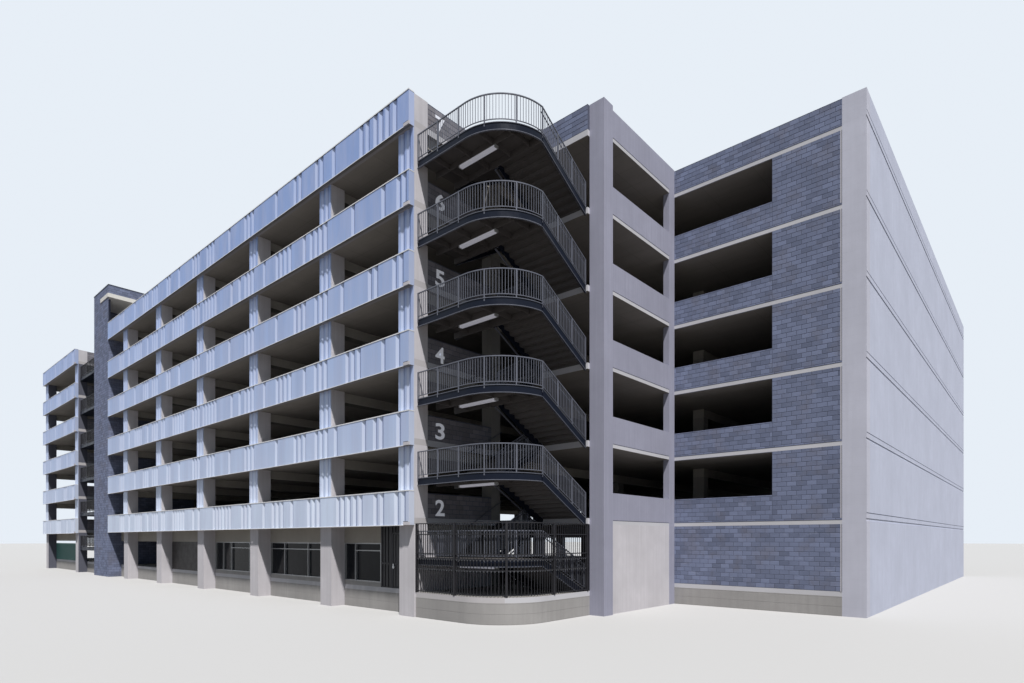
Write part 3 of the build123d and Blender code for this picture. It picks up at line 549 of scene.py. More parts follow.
STAIR_BLOCK = masonry_block("stair_block_face", (0.196, 0.192, 0.218))
MORTAR_AND_SHADOW = mortar()
METAL = folded_metal()
# The caps and ledges keep a tenth of their colour on faces that point down, as painted shade
FLASHING = plain_coating("flashing", (0.717, 0.725, 0.750), 0.4, 0.1, underside_shade=0.10)
WHITE = plain_coating("white_render", (0.667, 0.658, 0.633), 0.7)
DARK_CAP = painted_steel("dark_coping", (0.075, 0.083, 0.108), 0.45)
STAIR = painted_steel("stair_paint", (0.007, 0.010, 0.020), 0.34, wear=0.08, gloss=0.12)
# PAN and RAILING are lighter copies of the stair's dark paint: PAN as painted light on the pans, landing
# plates, joists and risers, RAILING as painted sheen on the guards, handrails and flanges
PAN = painted_steel("stair_pan_paint_and_painted_light", (0.090, 0.084, 0.084), 0.45)
RAILING = painted_steel("railing_paint_and_painted_sheen", (0.120, 0.128, 0.160), 0.28)
GATE = painted_steel("gate_paint", (0.022, 0.022, 0.026), 0.40)
FRAME = plain_coating("shopfront_frame", (0.333, 0.342, 0.358), 0.35, 0.3)
GLASS = tinted_glass()
GRILLE = painted_steel("grille_paint", (0.046, 0.042, 0.042), 0.5)
SCREEN = plain_coating("screen_paint", (0.075, 0.200, 0.183), 0.45)
LAMP = lamp_diffuser()
# The numbers glow faintly: painted light that brightens them in the shade beside the stair
NUMERAL = plain_coating("numeral_paint_and_painted_glow", (0.667, 0.692, 0.767), 0.6, glow=0.24)
COLLAR = painted_steel("collar_paint", (0.100, 0.104, 0.117), 0.35)
MESH = security_mesh()
LOCK = plain_coating("lock_plate", (0.458, 0.467, 0.483), 0.35, 0.6)

NODE_FINISHES = [
    (BASE, ["base_walls", "column_footings", "shop_curbs"]),
    (DECK, ["ground_floor_slab"] + [f"deck_{level}" for level in LEVELS]),
    (BOARDED, ["floor_beams", "shop_headers"]),
    (SHADED, ["columns"]),
    (PIER, ["street_piers"]),
    (CAST, ["rear_piers", "street_spandrels", "rear_spandrels", "left_end_spandrels", "ground_side_walls"]),
    (METAL, ["pier_cladding"] + [f"metal_band_{level}" for level in LEVELS]),
    (NOTCH, ["notch_piers", "notch_spandrels"]),
    (SMOOTH, ["right_wall"]),
    (PALE, ["right_corner_pier"]),
    (MORTAR_AND_SHADOW, ["block_sill_walls", "block_wall_panels", "stair_side_block_walls"]),
    (MORTAR_AND_SHADOW, ["tower_walls", "tower_parapet"]),
    (WHITE, ["tower_roof"]),
    (PAN, ["corner_stair_treads"]),
    (STAIR, ["corner_stair_stringers", "corner_stair_landings"]),
    (STAIR, ["west_stair_treads", "west_stair_stringers", "west_stair_landings"]),
    (RAILING, ["corner_stair_landing_guards", "corner_stair_flight_guards"]),
    (LAMP, ["corner_stair_lights"]),
    (GATE, ["west_stair_landing_guards", "security_fence", "gate_posts", "gate_head", "corner_gate_leaf"]),
    (FRAME, ["shopfront_frames"]),
    (GLASS, ["shopfront_glass"]),
    (GRILLE, ["roller_grille"]),
    (SCREEN, ["ground_screen"]),
]
for finish, names in NODE_FINISHES:
    for name in names:
        nodes[name].data.materials.clear()
        nodes[name].data.materials.append(finish)


# Meshes

def placed(name, data):
    """A new object in the scene."""
    made = bpy.data.objects.new(name, data)
    bpy.context.scene.collection.objects.link(made)
    return made


# The faces of a box whose corners go round its foot, then round its head
BOX_FACES = [(0, 3, 2, 1), (4, 5, 6, 7), (0, 1, 5, 4), (1, 2, 6, 5), (2, 3, 7, 6), (3, 0, 4, 7)]


class Shape:
    """Points and faces of one joined piece."""

    def __init__(self):
        self.points = []
        self.faces = []

    def add(self, points, faces):
        first = len(self.points)
        self.points += [tuple(point) for point in points]
        self.faces += [tuple(first + corner for corner in face) for face in faces]

    def box(self, low, high):
        (x0, y0, z0), (x1, y1, z1) = low, high
        plan = [(x0, y0), (x1, y0), (x1, y1), (x0, y1)]
        self.add([(x, y, z) for z in (z0, z1) for x, y in plan], BOX_FACES)

    def upright(self, point, direction, width, low, high):
        """A square bar standing at a point of a path."""
        u = Vector((direction.x, direction.y, 0)).normalized() * (width / 2)
        v = Vector((-u.y, u.x, 0))
        ring = [point - u - v, point + u - v, point + u + v, point - u + v]
        self.add([corner + Vector((0, 0, z)) for z in (low, high) for corner in ring], BOX_FACES)

    def rings(self, corners):
        """A bar through rings of four corners, closed at both ends."""
        last = len(corners) - 4
        faces = [
            (a + k, a + 4 + k, a + 4 + (k + 1) % 4, a + (k + 1) % 4)
            for a in range(0, last, 4) for k in range(4)
        ]
        faces += [(0, 1, 2, 3), (last + 3, last + 2, last + 1, last)]
        self.add(corners, faces)

    def sweep(self, path, width, height):
        """A bar with upright sides along a path; each point of the path is its bottom centre."""
        up = Vector((0, 0, height))
        corners = []
        for i, point in enumerate(path):
            along = path[min(i + 1, len(path) - 1)] - path[max(i - 1, 0)]
            flat = Vector((along.x, along.y, 0)).normalized()
            side = Vector((flat.y, -flat.x, 0)) * (width / 2)
            corners += [point - side, point + side, point + side + up, point - side + up]
        self.rings(corners)

    def extrusion(self, plan, low, high):
        """An upright piece over a convex plan given from above, anticlockwise."""
        count = len(plan)
        corners = [(x, y, z) for z in (low, high) for x, y in plan]
        faces = [tuple(reversed(range(count))), tuple(range(count, 2 * count))]
        faces += [(i, (i + 1) % count, count + (i + 1) % count, count + i) for i in range(count)]
        self.add(corners, faces)

    def piece(self, name, finish, slot, body="building", replaces=()):
        mesh = bpy.data.meshes.new(name)
        mesh.from_pydata(self.points, [], self.faces)
        mesh.materials.append(finish)
        mesh.update()
        made = placed(name, mesh)
        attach(made, body)
        if replaces:
            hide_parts(*replaces)


def solids(name):
    """Lowest and highest corner of each solid of a node, from the lowest solid up."""
    mesh = nodes[name].data
    keys = [tuple(round(value, 5) for value in vertex.co) for vertex in mesh.vertices]
    owner = {key: key for key in keys}

    def root(key):
        while owner[key] != key:
            owner[key] = owner[owner[key]]
            key = owner[key]
        return key

    for polygon in mesh.polygons:
        first = root(keys[polygon.vertices[0]])
        for corner in polygon.vertices[1:]:
            owner[root(keys[corner])] = first
    groups = {}
    for key in owner:
        groups.setdefault(root(key), []).append(key)
    boxes = [
        tuple(Vector(pick(values) for values in zip(*points)) for pick in (min, max))
        for points in groups.values()
    ]
    return sorted(boxes, key=lambda box: [round(box[0][axis], 3) for axis in (2, 0, 1)])


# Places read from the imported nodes

corner_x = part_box("street_piers")[1].x
street_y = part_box("street_piers")[0].y
right_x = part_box("right_wall")[1].x
deck_tops = [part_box(f"deck_{level}")[1].z for level in LEVELS]
roof_top = deck_tops[-1]
pier_middles = [(low.x + high.x) / 2 for low, high in solids("street_piers") if low.z > roof_top - NEAR]


# Masonry faces

def lay_blocks(shape, start, along, out, width, low, high):
    """Blocks in running bond on one face, in courses counted from the roof deck.

    start is the face's corner in plan, along the way it runs and out the way it faces.
    """
    course = math.floor((low - roof_top) / COURSE)
    while roof_top + course * COURSE < high - JOINT:
        bottom = max(roof_top + course * COURSE, low) + JOINT / 2
        top = min(roof_top + (course + 1) * COURSE, high) - JOINT / 2
        edge = -(BLOCK_LENGTH / 2) * (course % 2)
        while edge < width - JOINT:
            left = max(edge, 0.0) + JOINT / 2
            right = min(edge + BLOCK_LENGTH, width) - JOINT / 2
            edge += BLOCK_LENGTH
            if right - left < SMALLEST_BLOCK or top - bottom < SMALLEST_BLOCK:
                continue
            corners = []
            for inset, lift in ((0.0, 0.0), (BLOCK_EDGE, BLOCK_PROUD)):
                x = start[0] + out[0] * lift
                y = start[1] + out[1] * lift
                u0, u1 = left + inset, right - inset
                z0, z1 = bottom + inset, top - inset
                for u, z in ((u0, z0), (u1, z0), (u1, z1), (u0, z1)):
                    corners.append((x + along[0] * u, y + along[1] * u, z))
            shape.add(corners, BOX_FACES[1:])
        course += 1


def block_box(shape, low, high, sides="-y +x +y -x"):
    """Blocks on the named upright sides of a straight wall."""
    wide = high.x - low.x
    deep = high.y - low.y
    runs = {
        "-y": ((low.x, low.y), (1, 0), (0, -1), wide),
        "+x": ((high.x, low.y), (0, 1), (1, 0), deep),
        "+y": ((high.x, high.y), (-1, 0), (0, 1), wide),
        "-x": ((low.x, high.y), (0, -1), (-1, 0), deep),
    }
    for side in sides.split():
        lay_blocks(shape, *runs[side], low.z, high.z)


def right_wing_masonry():
    """Blocks of the right wing, also over its deck edges, and the painted shadow lines and reveals beside
    them.
    """
    faces, edges, reveals = Shape(), Shape(), Shape()
    for node in ("block_sill_walls", "block_wall_panels"):
        for low, high in solids(node):
            block_box(faces, low, high, "-y +y")
    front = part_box("notch_piers")[1].y
    left, right = (corner.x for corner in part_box("block_wall_panels"))
    for top in deck_tops:
        strip_low = Vector((left, front - DECK_STRIP_PROUD, top - DECK_COVER))
        strip_high = Vector((right, front, top))
        edges.box(strip_low, strip_high)
        block_box(faces, strip_low, strip_high, "-y")
        # A painted shadow line under each deck edge
        foot = top - DECK_EDGE
        edges.box((left, front - FILM, foot - SHADOW_LINE), (right, front, foot))
    for low, high in solids("block_wall_panels"):
        front = low.y - REVEAL_PROUD
        side = high.x - SHADOW_LINE
        # A painted shadow line in the gap at each panel's right side
        edges.box((side, front, low.z), (high.x, low.y, high.z))
        reveals.box((side - REVEAL_WIDTH, front, low.z), (side, low.y, high.z))
    faces.piece("right_wing_block_faces", BLOCK, "block")
    edges.piece("right_wing_deck_edge_mortar_and_shadow_lines", MORTAR_AND_SHADOW, "block")
    reveals.piece("right_wing_reveals", CAST, "cast_concrete")


def stair_side_masonry():
    """Blocks on both sides of the walls beside the stairs."""
    faces = Shape()
    for low, high in solids("stair_side_block_walls"):
        block_box(faces, low, high, "+x -x")
    faces.piece("stair_side_block_faces", STAIR_BLOCK, "block")


def tower_masonry():
    """Blocks of the lift tower, whose right side is open above the roof deck, and its coping."""
    low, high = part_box("tower_walls")
    faces = Shape()
    block_box(faces, low, high, "-y -x +y")
    lay_blocks(faces, (high.x, low.y), (0, 1), (1, 0), high.y - low.y, low.z, roof_top)
    faces.piece("tower_block_faces", BLOCK, "block")

    low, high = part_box("tower_parapet")
    faces = Shape()
    block_box(faces, low, high)
    faces.piece("tower_parapet_block_faces", BLOCK, "block")
    coping = Shape()
    lip = Vector((PARAPET_CAP_LIP, PARAPET_CAP_LIP, 0.0))
    rise = Vector((0.0, 0.0, PARAPET_CAP_THICKNESS))
    coping.box(Vector((low.x, low.y, high.z)) - lip, high + lip + rise)
    coping.piece("tower_parapet_coping", DARK_CAP, "stair_steel")


# Concrete facings

def notch_facings():
    """Each spandrel of the notch laps over its deck, with a painted shadow line at its foot."""
    facing, line = Shape(), Shape()
    for low, high in solids("notch_spandrels"):
        foot = low.z - DECK_COVER
        facing.box((high.x, low.y, foot), (high.x + FACING_PROUD, high.y, low.z + FACING_LAP))
        # The painted shadow line under the facing
        line.box((high.x, low.y, foot - SHADOW_LINE), (high.x + FILM, high.y, foot))
    facing.piece("notch_spandrel_feet", NOTCH, "cast_concrete")
    line.piece("notch_spandrel_lines", MORTAR_AND_SHADOW, "cast_concrete")


def side_wall_dark_lines():
    """A thin dark line over each recessed band of the blank wall, so that they read as a pair."""
    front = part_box("right_corner_pier")[0].y
    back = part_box("right_wall")[1].y
    dark_lines = Shape()
    for top in deck_tops:
        foot = top + WALL_LINE_RISE
        dark_lines.box((right_x, front, foot), (right_x + FILM, back, foot + WALL_LINE_HEIGHT))
    dark_lines.piece("side_wall_dark_lines", MORTAR_AND_SHADOW, "smooth_concrete")


# Folded metal

def folded_sheet(shape, low, high, front, folds, width, depth):
    """An upright sheet facing the street in a node's box, with V folds pressed into its front."""
    plan = [(low.x, front)]
    for x in folds:
        plan += [(x - width / 2, front), (x, front + depth), (x + width / 2, front)]
    plan.append((high.x, front))
    corners = []
    for x, y in plan:
        corners += [(x, y, low.z), (x, y, high.z), (x, high.y, high.z), (x, high.y, low.z)]
    shape.rings(corners)


def band_folds(level, x0, x1):
    """Places of a band's folds: those of the corner bays from the list, the rest in a varied rhythm."""
    number = LEVELS.index(level)
    listed = [corner_x - place for place in CORNER_FOLDS[level]] if x1 == corner_x else []
    limit = min(listed) - FOLD_PITCH if listed else x1
    piers = sorted(x for x in pier_middles if x0 < x < x1)
    folds = list(listed)
    for x in piers:
        folds += [x + FOLD_PITCH * step for step in (-1, 0, 1)]
    for bay, (left, right) in enumerate(zip(piers, piers[1:] + [x1])):
        for share, count in FOLD_RHYTHMS[(2 * bay + 3 * number) % len(FOLD_RHYTHMS)]:
            middle = left + (right - left) * share
            folds += [middle + FOLD_PITCH * (step - (count - 1) / 2) for step in range(count)]
    kept = []
    for x in sorted(folds):
        if x not in listed and x > limit:
            continue
        if x - FOLD_WIDTH / 2 < x0 + FOLD_MARGIN or x + FOLD_WIDTH / 2 > x1 - FOLD_GAP:
            continue
        if not kept or x - kept[-1] > FOLD_WIDTH + FOLD_GAP:
            kept.append(x)
    return kept


def folded_metal_bands():
    """The bands' folded sheets, their thin caps, ledges, end plates and the bracket at each right end."""
    spandrel_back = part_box("street_spandrels")[1].y
    caps, ledges, ends, brackets, lines = (Shape() for _ in range(5))
    for level in LEVELS:
        sheet = Shape()
        for low, high in solids(f"metal_band_{level}"):
            folds = band_folds(level, low.x, high.x)
            folded_sheet(sheet, low, high, low.y, folds, FOLD_WIDTH, FOLD_DEPTH)
            caps.box(
                (low.x, low.y - BAND_CAP_LIP, high.z),
                (high.x + BAND_CAP_LIP, spandrel_back, high.z + BAND_CAP_THICKNESS),
            )
            bracket_left = high.x - BRACKET_WIDTH
            bracket_top = low.z + BRACKET_HEIGHT
            ledges.box(
                (low.x, low.y - LEDGE_LIP, low.z - LEDGE_THICKNESS),
                (bracket_left, low.y + LEDGE_DEPTH, low.z),
            )
            ends.box((high.x, low.y, low.z), (high.x + END_PLATE, street_y, high.z))
            brackets.box(
                (bracket_left, low.y - BRACKET_PROUD, low.z - BRACKET_DROP),
                (high.x + END_PLATE + FILM, low.y + BRACKET_DEPTH, bracket_top),
            )
            lines.box(
                (bracket_left, low.y - FILM, bracket_top),
                (high.x - BRACKET_LINE_END, low.y + BRACKET_LINE_DEPTH, bracket_top + BRACKET_LINE),
            )
        sheet.piece(f"folded_sheet_{level}", METAL, "folded_metal", replaces=[f"metal_band_{level}"])
    caps.piece("band_caps", FLASHING, "folded_metal")
    ledges.piece("band_ledges", FLASHING, "folded_metal")
    ends.piece("band_end_plates", METAL, "folded_metal")
    brackets.piece("band_end_brackets", CAST, "cast_concrete")
    lines.piece("band_end_joints", DARK_CAP, "folded_metal")


def pier_cladding():
    """The same folded sheet in front of the piers between the bands."""
    cladding = Shape()
    for low, high in solids("pier_cladding"):
        folds = [low.x + (high.x - low.x) * share for share in CLADDING_FOLDS]
        front = high.y - CLADDING_FRONT
        folded_sheet(cladding, low, high, front, folds, CLADDING_FOLD_WIDTH, CLADDING_FOLD_DEPTH)
    cladding.piece("folded_pier_cladding", METAL, "folded_metal", replaces=["pier_cladding"])


# Railings and stairs

def stations(path, spacing):
    """Points at an even spacing along a path, both ends included, with the direction there."""
    runs = [(after - before).length for before, after in zip(path, path[1:])]
    total = sum(runs)
    count = max(1, round(total / spacing))
    leg = 0
    covered = 0.0
    places = []
    for step in range(count + 1):
        distance = total * step / count
        while leg < len(runs) - 1 and distance > covered + runs[leg]:
            covered += runs[leg]
            leg += 1
        point = path[leg].lerp(path[leg + 1], (distance - covered) / runs[leg])
        places.append((point, path[leg + 1] - path[leg]))
    return places


def lifted(path, height):
    return [point + Vector((0, 0, height)) for point in path]


def railing(shape, path):
    """A picket guard that follows a path at floor level."""
    shape.sweep(lifted(path, RAIL_HEIGHT - TOP_RAIL), TOP_RAIL, TOP_RAIL)
    shape.sweep(lifted(path, BOTTOM_RAIL_GAP), BOTTOM_RAIL, BOTTOM_RAIL)
    for point, direction in stations(path, PICKET_SPACING):
        shape.upright(point, direction, PICKET, BOTTOM_RAIL_GAP, RAIL_HEIGHT - TOP_RAIL / 2)
    for point, direction in stations(path, POST_SPACING):
        shape.upright(point, direction, POST, -POST_FOOT, RAIL_HEIGHT)


def rounded_path(left, right, front, back, z, radius):
    """From the left along the front, round the corner, and on to the back."""
    center_x = right - radius
    center_y = front + radius
    path = [Vector((left, front, z))]
    for step in range(ARC_STEPS + 1):
        turn = math.pi / 2 * step / ARC_STEPS
        path.append(Vector((center_x + radius * math.sin(turn), center_y - radius * math.cos(turn), z)))
    if back > center_y + NEAR:
        path.append(Vector((right, back, z)))
    return path


def corner_landings():
    """Landings with a rounded corner, their rims, joists and the guards that follow the curve."""
    low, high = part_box("corner_stair_landings")
    left, right = low.x, high.x
    front, back = low.y, high.y
    radius = back - front
    rim_inset = PLATE / 2 + FLANGE
    landings, rims, edges, joists, guards = (Shape() for _ in range(5))
    for foot, head in solids("corner_stair_landings"):
        top, bottom = head.z, foot.z
        plate_foot = top - LANDING_PLATE
        rim = rounded_path(left, right, front + rim_inset, back, bottom, radius - rim_inset)
        rim[-1].x = right - rim_inset
        landings.extrusion([(point.x, point.y) for point in rim] + [(left, back)], plate_foot, top)
        rims.sweep(lifted(rim, FLANGE), PLATE, top - bottom - 2 * FLANGE)
        for height in (0.0, top - bottom - FLANGE):
            edges.sweep(lifted(rim, height), FLANGE_WIDTH, FLANGE)
        for place in JOIST_PLACES:
            x = left + place
            reach = max(0.0, x + JOIST - (right - radius))
            start = back - math.sqrt((radius - JOIST_CLEARANCE) ** 2 - reach ** 2)
            joists.box((x, start, bottom + JOIST_LIFT), (x + JOIST / 2, back, plate_foot))
        y = back - BACK_JOIST_INSET
        joists.box((left, y, bottom), (right - FLANGE, y + JOIST, plate_foot))
        y = front + CROSS_JOIST_PLACE
        joists.box((left, y, bottom), (right - CROSS_JOIST_GAP, y + JOIST / 2, plate_foot))
        railing(guards, rounded_path(
            left + GUARD_INSET, right - GUARD_INSET, front + GUARD_INSET, back, top, radius - GUARD_INSET,
        ))
    landings.piece("rounded_landings", PAN, "stair_steel", replaces=["corner_stair_landings"])
    rims.piece("landing_rims", STAIR, "stair_steel")
    edges.piece("landing_rim_flanges", RAILING, "stair_steel")
    joists.piece("landing_joists", PAN, "stair_steel")
    guards.piece("landing_railings", RAILING, "stair_steel", replaces=["corner_stair_landing_guards"])


def flight_path(x, foot, head, height):
    """A straight line along a flight, whose foot and head are (y, z) points on its slope."""
    return [Vector((x, y, z + height)) for y, z in (foot, head)]


def corner_flights():
    """Guards and handrails of both flights of each storey, and the flanges of their stringers."""
    low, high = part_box("corner_stair_landings")
    left, right, back = low.x, high.x, high.y
    deck_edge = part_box("corner_stair_treads")[1].y
    well_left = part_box("corner_stair_flight_guards")[0].x + TOP_RAIL
    guards, handrails, flanges = Shape(), Shape(), Shape()
    floors = [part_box("ground_floor_slab")[1].z] + deck_tops[:-1]
    for floor, top in zip(floors, deck_tops):
        turn = (back, top - HALF_STOREY)
        flights = (
            (well_left, right, (deck_edge, floor), turn),
            (left, left + right - well_left, turn, (deck_edge, top)),
        )
        for x0, x1, foot, head in flights:
            railing(guards, flight_path(x1 - GUARD_INSET, foot, head, 0.0))
            for x in (x0 + HANDRAIL_INSET, x1 - HANDRAIL_INSET):
                handrails.sweep(flight_path(x, foot, head, HANDRAIL_HEIGHT), HANDRAIL, HANDRAIL)
            for x in (x0, x1 - STRINGER):
                for height in (-STRINGER_DEPTH, -FLANGE):
                    path = flight_path(x + STRINGER / 2, foot, head, height)
                    flanges.sweep(path, STRINGER + 2 * FLANGE_LIP, FLANGE)
    guards.piece("flight_railings", RAILING, "stair_steel", replaces=["corner_stair_flight_guards"])
    handrails.piece("flight_handrails", RAILING, "stair_steel")
    flanges.piece("corner_stringer_flanges", RAILING, "stair_steel")


def light_end_caps():
    """Grey caps and trays of the lights under the landings."""
    ends = Shape()
    for low, high in solids("corner_stair_lights"):
        y0, y1 = low.y - LIGHT_LIP, high.y + LIGHT_LIP
        for x in (low.x, high.x - LIGHT_CAP):
            ends.box((x - LIGHT_LIP, y0, low.z - LIGHT_LIP), (x + LIGHT_CAP + LIGHT_LIP, y1, high.z))
        ends.box((low.x, y0, high.z - LIGHT_TRAY), (high.x, y1, high.z))
    ends.piece("light_end_caps", FRAME, "lamp")


def west_stair():
    """Picket guards and flanged edges of the landings between the tower and the left wing."""
    low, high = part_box("west_stair_landing_guards")
    guards = Shape()
    for _, head in solids("west_stair_landing_guards"):
        railing(guards, [Vector((x, low.y + GUARD_INSET, head.z - RAIL_HEIGHT)) for x in (low.x, high.x)])
    guards.piece("west_stair_railings", GATE, "stair_steel", replaces=["west_stair_landing_guards"])

    flanges = Shape()
    for low, high in solids("west_stair_landings"):
        for z in (low.z, high.z - FLANGE):
            flanges.box((low.x, low.y - FLANGE, z), (high.x, low.y, z + FLANGE))
    flanges.piece("west_landing_flanges", STAIR, "stair_steel")


def risers(stair):
    """An upright plate under each tread's nosing: at the back right of the well, in front left of it."""
    treads = f"{stair}_treads"
    well = sum(corner.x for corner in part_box(treads)) / 2
    plates = Shape()
    for low, high in solids(treads):
        y0, y1 = (high.y - PLATE, high.y) if low.x > well else (low.y, low.y + PLATE)
        plates.box((low.x, y0, high.z - RISER_HEIGHT), (high.x, y1, low.z))
    plates.piece(f"{stair}_risers", PAN, "stair_steel")


def level_numbers():
    """Plain painted numbers on the block walls beside the corner stair."""
    numbers = Shape()
    wall_x = corner_x + BLOCK_PROUD + FILM
    start = street_y + NUMERAL_START
    for index, top in enumerate(deck_tops):
        curve = bpy.data.curves.new("numeral", "FONT")
        curve.body = str(index + 2)
        curve.extrude = NUMERAL_DEPTH
        curve.offset = NUMERAL_WEIGHT
        curve.resolution_u = 6
        letter = bpy.data.objects.new("numeral", curve)
        mesh = bpy.data.meshes.new_from_object(letter)
        across = [vertex.co.x for vertex in mesh.vertices]
        upward = [vertex.co.y for vertex in mesh.vertices]
        wide = max(across) - min(across)
        tall = max(upward) - min(upward)
        points = [
            (
                wall_x + NUMERAL_PROUD * (vertex.co.z + NUMERAL_DEPTH),
                start + (vertex.co.x - min(across)) / wide * NUMERAL_WIDTH,
                top + NUMERAL_FOOT + (vertex.co.y - min(upward)) / tall * NUMERAL_HEIGHT,
            )
            for vertex in mesh.vertices
        ]
        numbers.add(points, [tuple(polygon.vertices) for polygon in mesh.polygons])
        bpy.data.objects.remove(letter)
        bpy.data.meshes.remove(mesh)
    numbers.piece("level_numbers", NUMERAL, "block")


def security_fence():
    """Tall picket fence round the foot of the corner stair, with collars on its pickets."""
    low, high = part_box("security_fence")
    height = high.z - low.z
    path = rounded_path(
        low.x + GUARD_INSET, high.x - GUARD_INSET, low.y + GUARD_INSET, high.y, low.z, FENCE_RADIUS,
    )
    bars, collars = Shape(), Shape()
    for rail in FENCE_RAILS + (height - TOP_RAIL,):
        bars.sweep(lifted(path, rail), TOP_RAIL, TOP_RAIL)
    for point, direction in stations(path, FENCE_PICKET_SPACING):
        bars.upright(point, direction, FENCE_PICKET, FENCE_PICKET_FOOT, height - TOP_RAIL / 2)
        for place in COLLAR_HEIGHTS:
            collars.upright(point, direction, COLLAR_WIDTH, place - COLLAR_DROP, place + COLLAR_RISE)
    for point, direction in stations(path, FENCE_POST_SPACING):
        bars.upright(point, direction, FENCE_POST, 0.0, height)
    bars.piece("picket_fence", GATE, "gate_steel", replaces=["security_fence"])
    collars.piece("fence_collars", COLLAR, "gate_steel")


# Street level

def grille_slats():
    """Raised slats of the roller grille."""
    low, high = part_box("roller_grille")
    slats = Shape()
    z = low.z + SLAT_PITCH / 2
    while z < high.z - SLAT_PITCH:
        slats.box((low.x, low.y - SLAT_PROUD, z), (high.x, low.y, z + SLAT_HEIGHT))
        z += SLAT_PITCH
    slats.piece("grille_slats", GRILLE, "grille")


def screen_ribs():
    """Upright ribs and the cap of the teal screen."""
    low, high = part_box("ground_screen")
    ribs = Shape()
    x = low.x + RIB_PITCH / 2
    while x < high.x:
        ribs.box((x - RIB, low.y - RIB, low.z), (x + RIB, low.y, high.z))
        x += RIB_PITCH
    ribs.box(
        (low.x, low.y - SCREEN_CAP_FRONT, high.z - SCREEN_CAP_DROP),
        (high.x, high.y + SCREEN_CAP_BACK, high.z + SCREEN_CAP_RISE),
    )
    ribs.piece("screen_ribs", SCREEN, "screen")


def window_frames():
    """Outer frame, mullions and transoms of each shopfront, from the right bay to the left."""
    bar = FRAME_BAR
    frames = Shape()
    for bay, (low, high) in enumerate(reversed(solids("shopfront_frames"))):
        for x in (low.x, high.x - bar):
            frames.box((x, low.y, low.z), (x + bar, high.y, high.z))
        for z in (low.z, high.z - bar):
            frames.box((low.x + bar, low.y, z), (high.x - bar, high.y, z + bar))
        mullions = [low.x + (high.x - low.x) * share for share in MULLION_SHARES[bay]]
        for x in mullions:
            frames.box((x, low.y, low.z + bar), (x + bar, high.y, high.z - bar))
        transom = high.z - TRANSOM_DROP
        edges = [low.x] + mullions + [high.x - bar]
        for pane in TRANSOM_PANES[bay]:
            frames.box((edges[pane] + bar, low.y, transom), (edges[pane + 1], high.y, transom + bar))
    frames.piece("window_frames", FRAME, "shopfront", replaces=["shopfront_frames"])


def corner_gate():
    """Lock, mesh and stile of the swinging leaf, and the mesh of the fixed panel round it."""
    low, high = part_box("corner_gate_leaf")
    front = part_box("gate_posts")[0].y + GATE_SETBACK
    mesh_front = front + MESH_SETBACK
    mesh_back = mesh_front + MESH_THICKNESS

    lock = Shape()
    place = Vector((low.x, front, low.z + LOCK_HEIGHT))
    for start, end in LOCK_PARTS:
        lock.box(place + Vector(start), place + Vector(end))
    lock.piece("gate_lock_plate", LOCK, "gate_steel", body="corner_gate")
    mesh = Shape()
    mesh.box(
        (low.x + MESH_INSET, mesh_front, low.z + MESH_INSET),
        (low.x + LEAF_WIDTH - MESH_INSET, mesh_back, high.z - MESH_INSET),
    )
    mesh.piece("gate_leaf_mesh", MESH, "gate_steel", body="corner_gate")

    fixed_low, fixed_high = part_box("gate_head")
    gap_left = low.x - LEAF_GAP
    top = fixed_high.z - MESH_INSET
    mesh = Shape()
    mesh.box((fixed_low.x + MESH_INSET, mesh_front, fixed_low.z + MESH_INSET), (gap_left, mesh_back, top))
    mesh.box((gap_left, mesh_front, high.z + LEAF_GAP), (fixed_high.x, mesh_back, top))
    mesh.piece("gate_fixed_mesh", MESH, "gate_steel")
    stile = Shape()
    stile_left = low.x + STILE_INSET
    stile.box((stile_left, front - STILE_PROUD, low.z), (stile_left + STILE_WIDTH, front, high.z))
    stile.piece("gate_leaf_stile", COLLAR, "gate_steel", body="corner_gate")


# Camera, light and floor

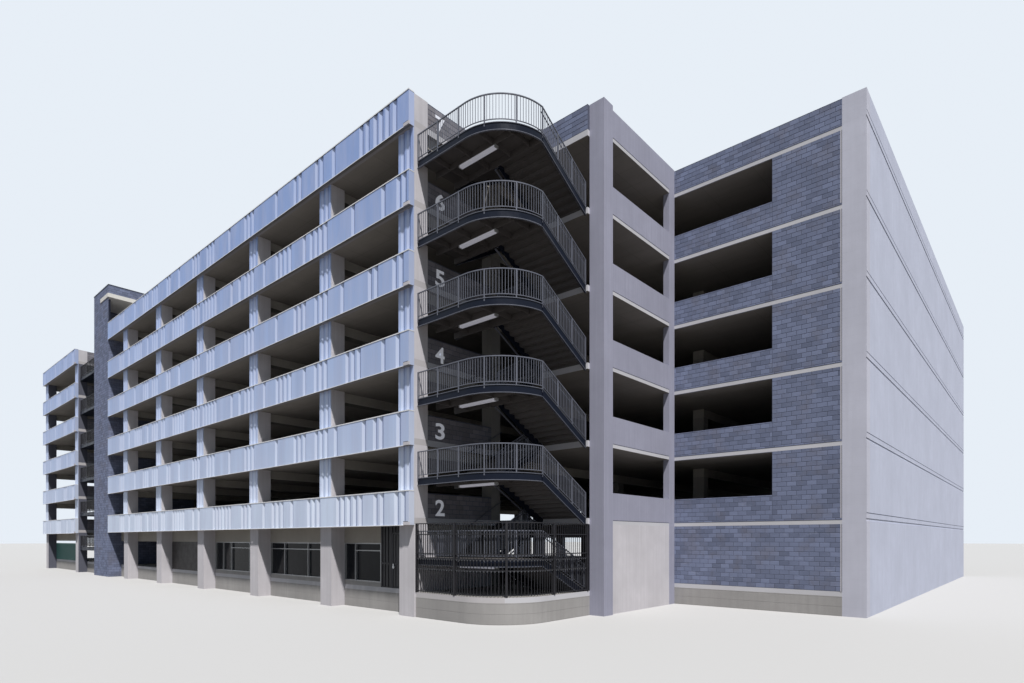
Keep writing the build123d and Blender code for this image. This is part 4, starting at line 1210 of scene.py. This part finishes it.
def camera():
    """The photograph's own view: level, with the horizon moved by a lens shift."""
    data = bpy.data.cameras.new("photo_camera")
    data.sensor_width = SENSOR_WIDTH
    data.sensor_fit = "HORIZONTAL"
    data.lens = SENSOR_WIDTH * FOCAL_PIXELS / IMAGE_WIDTH
    data.shift_y = (HORIZON_ROW - IMAGE_HEIGHT / 2) / IMAGE_WIDTH
    data.clip_end = CLIP_END
    made = placed("photo_camera", data)
    made.location = CAMERA_PLACE
    made.rotation_euler = (math.radians(90), 0, math.radians(CAMERA_HEADING - 90))
    bpy.context.scene.camera = made


def studio_floor():
    """Pale floor that throws back less light than it shows to the camera."""
    floor = bpy.data.meshes.new("studio_floor")
    corners = [(x * FLOOR_REACH, y * FLOOR_REACH, 0) for x, y in ((-1, -1), (1, -1), (1, 1), (-1, 1))]
    floor.from_pydata(corners, [], [(0, 1, 2, 3)])
    t = Finish("studio_floor_finish")
    floor.materials.append(t.finish(t.mix(t.seen(), FLOOR_BOUNCE, FLOOR_COLOR), 0.9))
    placed("studio_floor", floor)


def sky():
    """Soft blue fill light, with a pale backdrop for what the camera sees."""
    world = bpy.data.worlds.new("studio_world")
    world.use_nodes = True
    bpy.context.scene.world = world
    t = Tree(world.node_tree)
    light = world.node_tree.nodes["Background"]
    t.set(light.inputs["Color"], SKY_COLOR)
    t.set(light.inputs["Strength"], SKY_STRENGTH)
    backdrop = t.node("ShaderNodeBackground", {"Color": BACKDROP_COLOR})
    mix = t.node("ShaderNodeMixShader", {0: t.seen(), 1: light.outputs[0], 2: backdrop.outputs[0]})
    t.set(world.node_tree.nodes["World Output"].inputs["Surface"], mix.outputs[0])


def key_light():
    """A sun with slightly softened edges."""
    key = bpy.data.lights.new("key_light", "SUN")
    key.energy = SUN_STRENGTH
    key.angle = math.radians(SUN_SPREAD)
    key.color = SUN_COLOR
    lamp = placed("key_light", key)
    lamp.rotation_euler = Vector(SUN_DIRECTION).to_track_quat("Z", "Y").to_euler()


right_wing_masonry()
stair_side_masonry()
tower_masonry()
notch_facings()
side_wall_dark_lines()
folded_metal_bands()
pier_cladding()
corner_landings()
corner_flights()
light_end_caps()
west_stair()
risers("corner_stair")
risers("west_stair")
level_numbers()
security_fence()
grille_slats()
screen_ribs()
window_frames()
corner_gate()
camera()
studio_floor()
sky()
key_light()
bpy.context.scene.view_settings.view_transform = "Standard"
